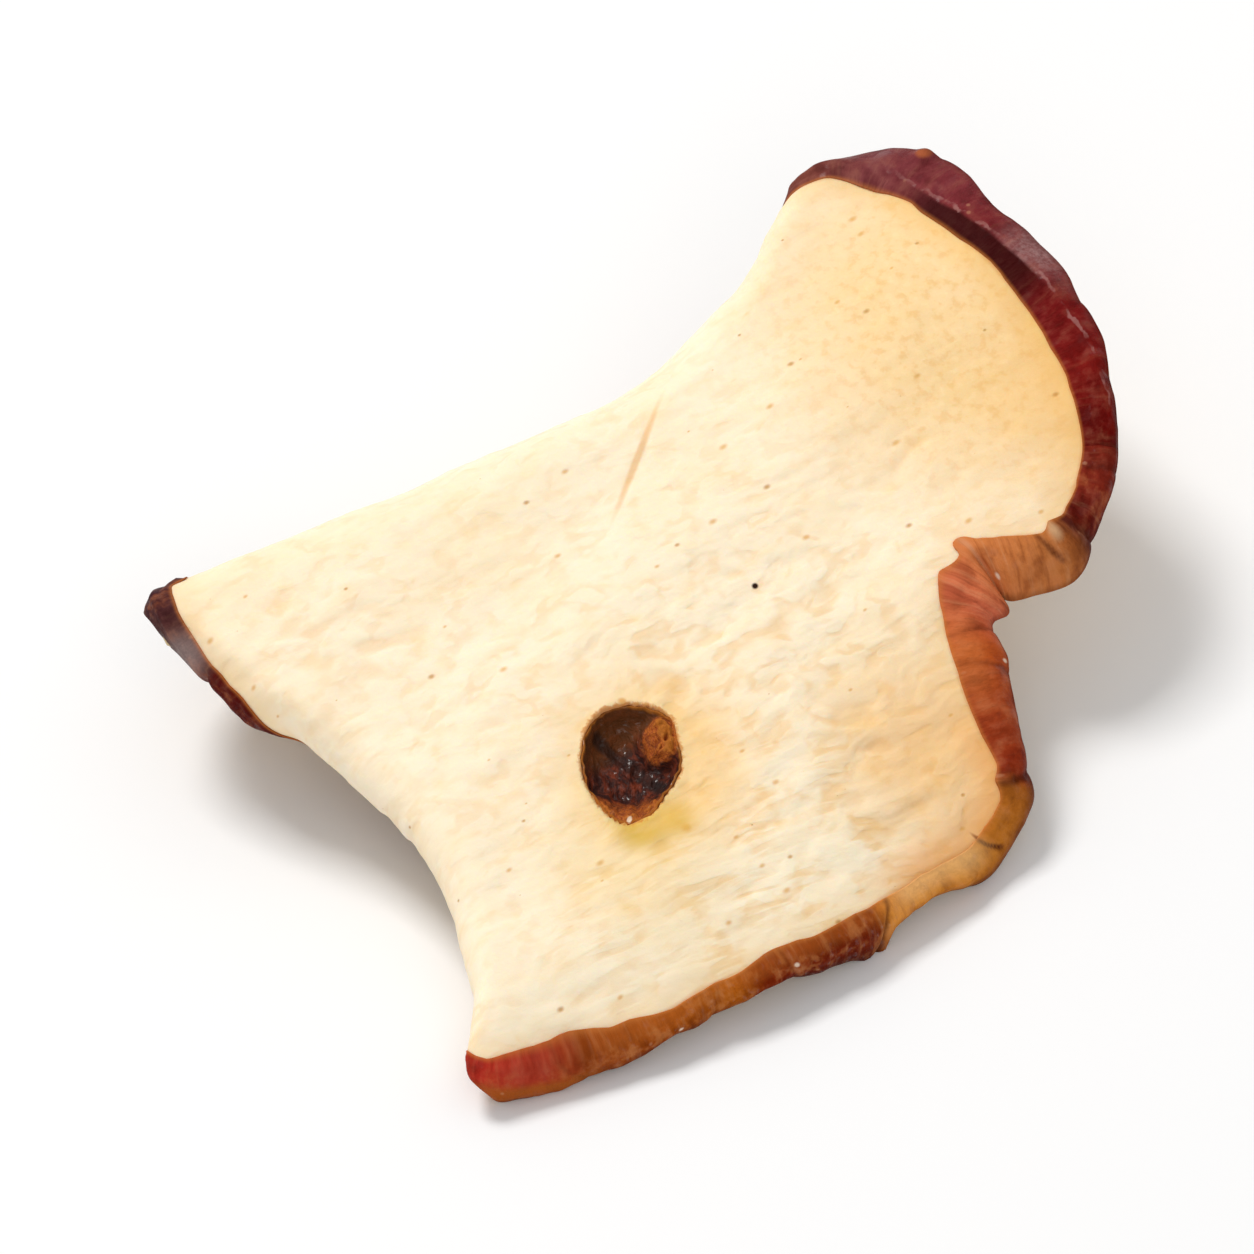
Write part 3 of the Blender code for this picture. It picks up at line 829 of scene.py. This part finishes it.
# %% Writing shader maths as expressions
class Wire:
    """An output socket that can be reckoned with."""

    def __init__(self, finish, socket):
        self.finish, self.socket = finish, socket

    def maths(self, operation, *inputs):
        return self.finish.node("ShaderNodeMath", {"operation": operation}, dict(enumerate(inputs)))

    def vector_maths(self, operation, *others, out="Vector"):
        inputs = dict(enumerate((self, *others)))
        return self.finish.node("ShaderNodeVectorMath", {"operation": operation}, inputs, out)

    def __add__(self, other):
        return self.maths("ADD", self, other)

    def __radd__(self, other):
        return self.maths("ADD", other, self)

    def __sub__(self, other):
        return self.maths("SUBTRACT", self, other)

    def __rsub__(self, other):
        return self.maths("SUBTRACT", other, self)

    def __mul__(self, other):
        return self.maths("MULTIPLY", self, other)

    def __rmul__(self, other):
        return self.maths("MULTIPLY", other, self)

    def part(self, axis):
        return self.finish.node("ShaderNodeSeparateXYZ", {}, {0: self}, axis)

    def noise(self, scale, detail=3.0, roughness=0.5, out="Fac"):
        sockets = {"Vector": self, "Scale": scale, "Detail": detail, "Roughness": roughness}
        return self.finish.node("ShaderNodeTexNoise", {}, sockets, out)

    def stretch(self, angle, scale):
        """Places turned by an angle in degrees and then scaled, for patterns that run along that angle."""
        sockets = {"Vector": self, "Rotation": (0, 0, -np.radians(angle))}
        turned = self.finish.node("ShaderNodeMapping", {"vector_type": "POINT"}, sockets)
        return turned.vector_maths("MULTIPLY", scale)

    def between(self, low, high):
        """0 up to low, rising smoothly to 1 at high."""
        sockets = {"Value": self, "From Min": low, "From Max": high}
        return self.finish.node("ShaderNodeMapRange", {"interpolation_type": "SMOOTHSTEP"}, sockets)

    def under(self, low, high):
        """1 up to low, falling smoothly to 0 at high."""
        return self.between(high, low)

    def band(self, middle, low, high):
        """1 round a middle value, falling to 0 as the square of the distance to it goes from low to high."""
        off = self - middle
        return (off * off).under(low, high)

    def near(self, point, inner, outer):
        """1 within inner of a point, falling to 0 at outer."""
        return self.vector_maths("DISTANCE", point, out="Value").under(inner, outer)


class Finish:
    """A material, its nodes, and the colour that they have made so far."""

    def __init__(self, name, **shader_values):
        self.material = bpy.data.materials.new(name)
        self.material.use_nodes = True
        self.tree = self.material.node_tree
        self.shader = self.tree.nodes["Principled BSDF"]
        self.colour = None
        for socket, value in shader_values.items():
            self.shader.inputs[socket.replace("_", " ")].default_value = value

    def node(self, kind, settings, sockets, out=0, ramp_stops=()):
        made = self.tree.nodes.new(kind)
        for name, value in settings.items():
            setattr(made, name, value)
        for number, (at, code) in enumerate(ramp_stops):
            stops = made.color_ramp.elements
            stop = stops[number] if number < 2 else stops.new(at)
            stop.position, stop.color = at, tone(code)
        for key, value in sockets.items():
            if isinstance(value, Wire):
                self.tree.links.new(value.socket, made.inputs[key])
            else:
                made.inputs[key].default_value = value
        return Wire(self, made.outputs[out])

    def read(self, name, out="Fac"):
        return self.node("ShaderNodeAttribute", {"attribute_name": name}, {}, out)

    def mix(self, share, a, b, how="MIX"):
        settings = {"data_type": "RGBA", "blend_type": how}
        return self.node("ShaderNodeMix", settings, {0: share, 6: a, 7: b}, 2)

    def tint(self, share, code, how="MIX"):
        """Lays a web colour over the finish's colour where share is above 0."""
        self.colour = self.mix(share, self.colour, tone(code), how)

    def bump(self, height, distance, strength=0.8):
        sockets = {"Height": height, "Distance": distance, "Strength": strength}
        return self.node("ShaderNodeBump", {}, sockets)

    def set(self, **wires):
        for socket, wire in wires.items():
            self.tree.links.new(wire.socket, self.shader.inputs[socket.replace("_", " ")])

    def put_on(self, obj):
        obj.data.materials.clear()
        obj.data.materials.append(self.material)
        print(self.material.name, "is made of", len(self.tree.nodes), "nodes")


def tone(code):
    """A colour picked as a web code, as the linear values that a shader wants."""
    parts = np.array([int(code[i : i + 2], 16) for i in (1, 3, 5)]) / 255
    linear = np.where(parts <= 0.04045, parts / 12.92, ((parts + 0.055) / 1.055) ** 2.4)
    return (*linear.tolist(), 1.0)


# %% [markdown]
# ### Flesh
# Dried apple is cream, a little warmer where it is thin or near the skin, and light goes a short way into
# it, so it never looks like plaster. The colours read the point's place on the flat slice, so they follow
# the folds. First come soft mottles, painted light over the front, and the crepe: creases that follow the
# grain and nearly straight lines towards the front, each with painted warm shade in it.

# %% Mottles and creases of the flesh
CREAM, WARM = "#fcecd2", "#f7dcab"
finish = Finish(
    "apple flesh",
    Subsurface_Weight=0.3,
    Subsurface_Radius=(1.0, 0.62, 0.3),
    Subsurface_Scale=0.0013,
    IOR=1.4,
    Specular_IOR_Level=0.15,
)
flat = finish.read("flat", "Vector")
inland, top, creased = (finish.read(name) for name in ("inland", "top", "creased"))
finish.colour = finish.mix(flat.noise(0.09, 2.0).between(0.4, 0.75) * 0.3, tone(CREAM), tone(WARM))
finish.tint(flat.stretch(GRAIN, (0.35, 0.6, 1.0)).noise(1.0, 2.0).between(0.45, 0.75) * 0.25, WARM)
# painted warm shade in the creases, as strong as the face is creased there
finish.tint(creased.between(0.2, 1.2) * 0.3, "#eabb72")
waver = flat.noise(0.22, 1.5, out="Color")
bent = waver.vector_maths("MULTIPLY_ADD", (2.2, 2.2, 0), flat)
a_little_bent = waver.vector_maths("MULTIPLY_ADD", (1.3, 1.3, 0), flat)
wrinkles = bent.stretch(GRAIN, (0.30, 0.56, 1.0)).noise(1.0, 2.0)
lines = a_little_bent.stretch(GRAIN - 3, (0.15, 0.95, 1.0)).noise(1.0, 2.0)
painted_light_front = flat.near((6, -23, 0), 6.0, 17.0)
wrinkled = 0.6 + 0.6 * flat.near((9, -9, 0), 7.0, 24.0) - 0.45 * flat.near((20, 25, 0), 8.0, 20.0)
wrinkled = wrinkled - 0.35 * painted_light_front
lined = 0.15 + flat.near((8, -20, 0), 6.0, 18.0)
broken = flat.noise(0.42, 2.0).between(0.42, 0.62)
creases = wrinkles.band(0.47, 0.0, 0.006) * broken * wrinkled
small_creases = lines.band(0.46, 0.0, 0.006) * (0.25 + 0.75 * broken) * lined
# painted light: the drooping front is painted paler, as if more light fell on it
finish.tint(painted_light_front * 0.5, "#fff0d4")
# painted warm shade in the creases, in the wrinkles' hollows and in the small creases
finish.tint(creases * 0.26 * top, "#e6b25c")
finish.tint(wrinkles.under(0.28, 0.5) * wrinkled * 0.1 * top, "#eac47a")
finish.tint(small_creases * 0.27 * top, "#e6b45c")
print("creases and mottles:", len(finish.tree.nodes), "nodes")

# %% [markdown]
# Then come fibres and flecks, the honey tone of the lobe and of everything near the skin, and the
# yellow-green stain beside the seed pocket.

# %% Warm parts of the flesh
finish.tint(flat.stretch(GRAIN, (0.3, 0.75, 1.0)).noise(1.0, 3.0, 0.55).between(0.52, 0.8) * 0.3, "#f1cd8f")
finish.tint(flat.stretch(50, (0.5, 1.1, 1.0)).noise(1.0, 2.0).between(0.66, 0.8) * 0.25, "#e9b468")
lobe = flat.near((23, 24, 0), 6.0, 20.0)
lobe_mottle = flat.noise(1.2, 3.0, 0.55)
finish.tint(lobe * 0.6, "#edc578")
finish.tint(lobe_mottle.between(0.48, 0.68) * lobe * 0.32, "#e2aa58")
finish.tint(lobe_mottle.under(0.3, 0.45) * lobe * 0.35, "#fbe2b4")
near_rim = inland.under(0.0, 3.0)
finish.tint(flat.near((20, -8, 0), 1.0, 10.0) * 0.6, "#f0b75e")
finish.tint(near_rim * (0.3 + 0.25 * lobe), "#eab968")
finish.tint(near_rim * flat.near((22.5, -13, 0), 4.0, 10.0) * 0.65, "#e69a48")
finish.tint(flat.near((31, 18, 0), 3.0, 12.0) * 0.35, "#ecb765")
finish.tint(inland.under(0.1, 0.5) * 0.5, "#dd9148")
finish.tint(flat.near((0, -17.6, 0), 1.0, 9.0) * 0.35, "#e3bd5c")
unstained = (1.0 - flat.near((0.9, -15.9, 0), 0.5, 2.8)) * (1.0 - flat.near((3, -15, 0), 0.3, 2.2))
patchy = flat.stretch(35, (0.35, 1.0, 1.0)).noise(1.0, 2.0).between(0.3, 0.6)
finish.tint((1.0 - unstained) * (0.7 + 0.3 * patchy), "#c8a630")
finish.tint(flat.near((3.7, -15.8, 0), 0.1, 0.5) * 0.8, "#cf9c28")
finish.tint(flat.near((-0.4, -6.4, 0), 0.1, 0.4) * 0.8, "#c87a24")
finish.tint(flat.near((POCKET[0] + 1.5, POCKET[1], 0), 3.2, 8.5) * 0.65, "#f1c478")
ragged = 0.2 * (flat.noise(2.2, 3.0, 0.6) - 0.5)
finish.tint((finish.read("pocket") + ragged).under(1.03, 1.1) * 0.8, "#cd7f35")
print("with the warm parts:", len(finish.tree.nodes), "nodes")

# %% [markdown]
# Last come the small marks that each have a place: tan pores, painted shade along the groove, a short crack
# and one black speck. The same wrinkles that carry painted shade on the face also roughen it a little.


# %% Small marks of the flesh
def scattered(where, per_mm, largest, share):
    """Round spots of many sizes at random places. share is the part of the places that gets one."""
    settings = {"voronoi_dimensions": "2D", "feature": "F1"}
    sockets = {"Vector": where, "Scale": per_mm, "Randomness": 1.0}
    distance = where.finish.node("ShaderNodeTexVoronoi", settings, sockets, "Distance")
    chance = where.finish.node("ShaderNodeTexVoronoi", settings, sockets, "Color")
    chance = where.finish.node("ShaderNodeSeparateColor", {}, {0: chance}, "Red")
    size = chance.between(1.0 - share, 1.0) * largest * per_mm
    return distance.under(size * 0.1, size + 0.004)


def streak(a, b, half_width):
    """1 along a short straight mark from a to b, in millimetres, and 0 beside it."""
    a, b = np.array(a), np.array(b)
    angle = np.degrees(np.arctan2(*(b - a)[::-1]))
    scale = (2 / np.hypot(*(b - a)), 1 / half_width, 1.0)
    u, v = along_and_across(*(a + b) / 2, angle)
    flattened = flat.vector_maths("MULTIPLY", (1, 1, 0)).stretch(angle, scale)
    return flattened.near((u * scale[0], v * scale[1], 0), 0.3, 1.0)


pores = scattered(flat.stretch(GRAIN, (0.8, 1.2, 1.0)), 0.19, 0.28, 0.42)
small_pores = scattered(flat.stretch(40, (0.75, 1.25, 1.0)), 0.30, 0.34, 0.35)
finish.tint(pores * 0.75 * top, "#c08a3e")
finish.tint(small_pores * 0.65 * top, "#d8a048")
# painted shade along the groove above the seed pocket
finish.tint(streak((2.6, 18.8), (-1.4, 6.4), 0.34) * 0.55 * top, "#e2ab60")
finish.tint(streak((21.9, -12.8), (23.5, -13.6), 0.2) * 0.75 * top, "#8a4416")
finish.tint(flat.near((8.2, 2.8, 0), 0.12, 0.28), "#2a160c")
finish.tint((1.0 - top) * 0.5, "#eab96f")
grainy = flat.stretch(GRAIN, (1.1, 2.6, 1.0)).noise(1.0, 5.0, 0.65)
rough = wrinkles * wrinkled * 0.82 + lines * lined * 0.13 + grainy * 0.11
rough = rough - creases * 0.05 - small_creases * 0.04 - pores * 0.1 - small_pores * 0.03
finish.set(Base_Color=finish.colour, Normal=finish.bump(rough, 0.0005), Roughness=0.6 + 0.22 * grainy)
finish.put_on(flesh)

# %% [markdown]
# ### Skin
# The red skin dries almost black-red along the lobe and browner along the front. Round the rim the colour
# is a ramp whose stops are named for the rows of the rim, at a share of the way to the next one.

# %% Colours round the rim
SKIN_TONES = (
    ("lobe, right", 0.0, "#5c0400"),
    ("lobe, right", 0.6, "#7a1410"),
    ("lobe, shoulder", 0.3, "#70161a"),
    ("lobe, crown", 0.0, "#7a3036"),
    ("lobe, crown", 0.5, "#77383c"),
    ("lobe, left", 0.0, "#7a4036"),
    ("back flap, middle", 0.0, "#7a2018"),
    ("left tip, back", 0.3, "#4a191c"),
    ("left tip", 0.0, "#3e181f"),
    ("left tip", 0.66, "#6b423c"),
    ("left tip", 0.76, "#560a05"),
    ("left fold, back", 0.0, "#571006"),
    ("left fold, front", 0.5, "#8a3214"),
    ("front tip", 0.0, "#b42e22"),
    ("front tip", 0.3, "#a83c24"),
    ("front tip", 0.42, "#8a3a0c"),
    ("front tip", 0.75, "#984608"),
    ("front edge", 0.1, "#b05c0a"),
    ("front edge", 0.2, "#7c2400"),
    ("front edge", 0.7, "#762200"),
    ("front edge", 0.78, "#e6963a"),
    ("corner, front", 0.2, "#d48628"),
    ("corner, back", 0.0, "#9e581a"),
    ("corner, back", 0.14, "#8a2a10"),
    ("corner, back", 0.8, "#9c3f1c"),
    ("throat, front", 0.5, "#b84f18"),
    ("throat", 0.1, "#ce6446"),
    ("notch", 0.1, "#da8248"),
    ("notch", 0.85, "#c0743c"),
    ("elbow", 0.0, "#b86c34"),
    ("elbow", 0.2, "#520a04"),
    ("elbow", 0.6, "#7c2416"),
)
finish = Finish("apple skin", IOR=1.45, Specular_IOR_Level=0.04, Coat_Roughness=0.2)
place = finish.read("along_skin", "Vector")
past_ridge = finish.read("past_ridge")
around_skin, across_skin = (finish.node("ShaderNodeUVMap", {}, {}).part(axis) for axis in "XY")
wobble = (place.noise(0.6, 2.0) - 0.5) * 0.006
stops = [(place_of(name, share), code) for name, share, code in SKIN_TONES]
finish.colour = finish.node("ShaderNodeValToRGB", {}, {"Fac": around_skin + wobble}, "Color", stops)
print("colour stops round the rim:", len(stops))

# %% [markdown]
# Over the ramp lie blotches, pleats across the band with painted shade and highlight, painted shade on the
# inner facet and a painted highlight along the ridge on the lobe, a painted sheen, a dusty bloom with painted
# sheen, and the nicks, some with a painted highlight, others with painted shade and dark cracks.


# %% Blotches, pleats and facets of the skin
def round_place(name, share, q, inner, outer):
    """1 within inner millimetres of a place on the skin, falling to 0 at outer."""
    return place.near(on_ring(place_of(name, share), q).tolist(), inner, outer)


blotches, speckles, leather = place.noise(0.6, 3.0, 0.6), place.noise(1.2), place.noise(3.2, 4.0, 0.65)
pleats = place.stretch(0, (1.9, 1.9, 0.3)).noise(1.0, 3.0, 0.6)
outer_facet = past_ridge.between(-0.1, 0.0)
on_lobe = round_place("lobe, shoulder", 0.6, 0.5, 15.0, 19.0)
on_front = round_place("front edge", 0.3, 0.5, 11.0, 16.0)
pleated = 0.08 + 0.3 * round_place("notch", 0.3, 0.5, 5.0, 9.0) + 0.22 * on_front
finish.tint(blotches.between(0.5, 0.72) * (1.0 - 0.85 * on_lobe) * 0.25, "#c8703a")
finish.tint(blotches.under(0.3, 0.55) * 0.35, "#8a4a3c", "MULTIPLY")
finish.tint(speckles.between(0.45, 0.75) * 0.06, "#e8b090")
finish.tint(speckles.under(0.25, 0.55) * 0.2, "#905038", "MULTIPLY")
# painted shade in the pleats' hollows and a painted highlight on their tops
finish.tint(pleats.under(0.3, 0.5) * pleated, "#8c5644", "MULTIPLY")
finish.tint(pleats.between(0.5, 0.75) * pleated * 0.5, "#f0b888")
# along the front, painted light on the skin's upper edge and painted shade on its lower part
finish.tint(across_skin.under(0.02, 0.4) * on_front * 0.35, "#c06a2a")
finish.tint(across_skin.between(0.4, 0.9) * on_front * 0.5, "#7a3c20", "MULTIPLY")
finish.tint(speckles.between(0.48, 0.66) * on_front * 0.2, "#cc8a48")
# painted shade under the rolled front corner
corner_underside_shade = round_place("corner, front", 0.75, 1.0, 2.5, 5.5) * across_skin.between(0.35, 0.85)
finish.tint(corner_underside_shade * 0.6, "#8a4a24", "MULTIPLY")
finish.tint(round_place("throat, front", 0.5, 0.3, 1.5, 5.0) * across_skin.under(0.1, 0.75) * 0.3, "#d08046")
# painted shade on the lobe's inner facet, which faces away from the light
finish.tint((1.0 - outer_facet) * round_place("lobe, shoulder", 0.6, 0.2, 3.5, 7.5) * 0.85, "#2a0403")
# a painted highlight along the ridge of the lobe's skin
ridge_highlight = (past_ridge + 0.22 * (place.noise(1.6) - 0.5)).band(0.0, 0.0002, 0.003)
ridge_highlight = ridge_highlight * place.noise(0.9).between(0.42, 0.62) * round_place("lobe, shoulder", 0.3, 0.2, 9.0, 12.0)
finish.tint(ridge_highlight * 0.38, "#b98a84")
# a painted sheen on the lobe's outer facet
sheen_patch = round_place("lobe, shoulder", 0.36, 0.85, 0.3, 3.2) * outer_facet
finish.tint(sheen_patch * (0.45 + 0.55 * leather.between(0.35, 0.65)) * 0.6, "#b08c8a")
# a painted highlight at the elbow, next to the flesh
finish.tint(round_place("elbow", 0.02, 0.0, 0.1, 0.7) * 0.5, "#ecc79a")
finish.tint(round_place("left tip", 0.5, 0.4, 0.5, 2.2) * 0.36, "#b5a7a3")
# dusty bloom, partly painted sheen, on the outer facets
bloom_and_sheen = place.noise(0.2, 2.0).between(0.58, 0.72)
finish.tint(bloom_and_sheen * (0.05 + 0.07 * on_lobe) * outer_facet, "#a08a88")
nicks = finish.read("nick_light_and_shade")
# nicks: a painted highlight where they are pale, painted shade and dark cracks where they are dark
finish.tint(nicks.between(0.15, 0.7) * 0.7, "#dca27c")
finish.tint(nicks.under(-0.7, -0.05) * 0.85, "#4a1408")
print("skin so far:", len(finish.tree.nodes), "nodes")

# %% Edges, painted glints and pin-pricks of the skin
finish.tint(across_skin.under(-0.03, 0.03) * 0.45, "#cf7c3c")
rusty_front = round_place("front tip", 0.2, 1.1, 2.5, 6.0)
finish.tint(rusty_front * (across_skin + 0.3 * blotches).between(0.45, 0.75) * 0.8, "#a0561a")
finish.tint(round_place("lobe, crown", 0.2, 0.93, 0.25, 0.5) * 0.85, "#a85a34")
# painted shade along the skin's lower edge, where it turns under
finish.tint(across_skin.between(0.86, 1.02) * 0.4, "#4a1a10")
# painted light on the upper side of the rolled front corner
finish.tint(round_place("corner, front", 0.05, 0.3, 2.5, 5.0) * across_skin.under(0.0, 0.6) * 0.5, "#f4c888")
# painted glints: small white highlights on the front and in the notch
PAINTED_GLINTS = (
    ("front tip", 0.84, 0.5),
    ("front edge", 0.35, 0.27),
    ("notch", 0.2, 0.58),
    ("throat, front", 0.38, 0.9),
)  # row of RIM, share towards the next, and place across the skin
for glint_place in PAINTED_GLINTS:
    finish.tint(round_place(*glint_place, 0.08, 0.26) * 0.75, "#f6e2cc")
dots = {"Vector": place, "Scale": 0.6, "Randomness": 1.0}
pricks = finish.node("ShaderNodeTexVoronoi", {"feature": "F1"}, dots, "Distance").under(0.04, 0.11)
finish.tint(pricks * 0.25, "#d9a27c")
shine = place.noise(1.1, 2.0).between(0.56, 0.68)
glints = place.noise(2.6, 2.0).between(0.6, 0.66) * on_front
finish.set(Base_Color=finish.colour, Normal=finish.bump(pleats * 0.6 + leather * 0.7, 0.00025, 0.75))
finish.set(Roughness=0.45 + 0.15 * leather, Coat_Weight=0.2 * shine + 0.6 * glints)
finish.put_on(skin)

# %% [markdown]
# ### Pocket lining
# The wall of the pocket dried to a hard, dark brown skin, reddish brown on its lip, with painted shade nearly
# black in its crease, small glints where it is still shiny and one painted glint on its lip.

# %% The lining's finish
finish = Finish("pocket lining", Specular_IOR_Level=0.2, Coat_Roughness=0.15)
place = finish.read("cup_place", "Vector")
right_of, back_of, level = (place.part(axis) for axis in "XYZ")
crumpled, grain = place.noise(4.0, 4.0, 0.6), place.noise(22.0, 2.0)
rusty = finish.mix(grain.between(0.34, 0.66), tone("#8a380a"), tone("#c06820"))
rusty = finish.mix(crumpled.under(0.35, 0.55) * 0.5, rusty, tone("#5a200a"))
on_lump = (finish.read("lump") + 0.5 * (crumpled - 0.5)).between(0.35, 0.7)
front_lip = (0.4 * (crumpled - 0.5) - back_of).between(0.42, 0.7)
finish.colour = finish.mix(crumpled.between(0.4, 0.66), tone("#2e0a03"), tone("#6c280c"))
finish.tint((back_of - 0.6 * right_of).between(0.3, 0.7) * 0.7, "#64360c")
for share in (on_lump * 0.9, front_lip * 0.85):
    finish.colour = finish.mix(share, finish.colour, rusty)
# painted shade in the crease between the lump and the floor, and in a dark pit beside it
crevice_shade = (back_of + 0.62 * right_of).band(0.18, 0.002, 0.035) * level.between(-0.3, -0.75)
finish.tint(crevice_shade * 0.75 + place.near((0.58, -0.04, -1.0), 0.15, 0.4) * 0.25, "#1a0703")
finish.tint(level.between(-0.1, 0.15) * 0.6, "#c07420")
# a painted glint on the pocket's front lip
glint_x, glint_y = right_of + 0.05, back_of + 0.94
finish.tint((glint_x * glint_x + glint_y * glint_y).under(0.001, 0.006) * 0.8, "#fbe9cf")
wet = place.noise(7.0, 2.0).between(0.56, 0.64) * (1.0 - on_lump)
finish.set(Base_Color=finish.colour, Normal=finish.bump(crumpled + grain * 0.5, 0.0002))
finish.set(Roughness=0.6 - 0.3 * wet, Coat_Weight=0.5 * wet)
finish.put_on(cup)

# %% [markdown]
# ## Fitting the pieces to the frame
# The flesh, the skin and the lining together stand for the one solid, and all of them ride on the only
# body.

# %% Pieces and what they stand for
for piece in (flesh, skin, cup):
    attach(piece, "root")
    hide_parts("apple_slice")
print("pieces:", [piece.name for piece in (flesh, skin, cup)])

# %% [markdown]
# ## Floor, light and camera
# The slice lies on a plain white surface in soft daylight that comes from above and a little from behind,
# so that the wrinkles show and the shadow falls short. The camera looks down at 45 degrees from far away.

# %% Floor
bpy.ops.object.select_all(action="DESELECT")
bpy.ops.mesh.primitive_plane_add(size=6)
floor = bpy.context.object
floor.name = "floor"
Finish("white surface", Base_Color=(0.89, 0.9, 0.92, 1), Roughness=0.8).put_on(floor)
floor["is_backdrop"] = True

# %% Light
world = bpy.data.worlds.new("soft daylight")
world.use_nodes = True
background = world.node_tree.nodes["Background"]
background.inputs["Color"].default_value = (1.0, 0.99, 0.97, 1)
background.inputs["Strength"].default_value = 0.53
bpy.context.scene.world = world


def soft_light(name, where, size, power):
    """A square light that looks at the slice."""
    bpy.ops.object.light_add(type="AREA", location=where)
    light = bpy.context.object
    light.name = name
    light.data.size = size
    light.data.energy = power
    light.data.color = (1.0, 0.98, 0.95)
    light.rotation_mode = "QUATERNION"
    light.rotation_quaternion = (-light.location).to_track_quat("-Z", "Y")


soft_light("window", (-0.36, 0.34, 0.78), 0.30, 5.3)
soft_light("room", (0.10, -0.60, 0.45), 0.5, 1.0)

# %% Camera
VIEW_DISTANCE, VIEW_WIDTH, VIEW_ELEVATION, SENSOR = 3.0, 0.081, 45.0, 36
target = np.array([-0.0002, -0.0009, 0.010])
elevation = np.radians(VIEW_ELEVATION)
back_off = VIEW_DISTANCE * np.array([0, -np.cos(elevation), np.sin(elevation)])
bpy.ops.object.camera_add(location=target + back_off, rotation=(np.radians(90 - VIEW_ELEVATION), 0, 0))
camera = bpy.context.object
camera.data.sensor_width = SENSOR
camera.data.lens = SENSOR * VIEW_DISTANCE / VIEW_WIDTH
camera.data.clip_start, camera.data.clip_end = 0.1, 10
bpy.context.scene.camera = camera
bpy.context.scene.view_settings.view_transform = "Standard"
print("lens:", round(camera.data.lens), "mm")

# %% Sizes of the finished model, and the end
low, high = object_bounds()
print("visual box in mm:", [round(v * 1000, 1) for v in low], [round(v * 1000, 1) for v in high])
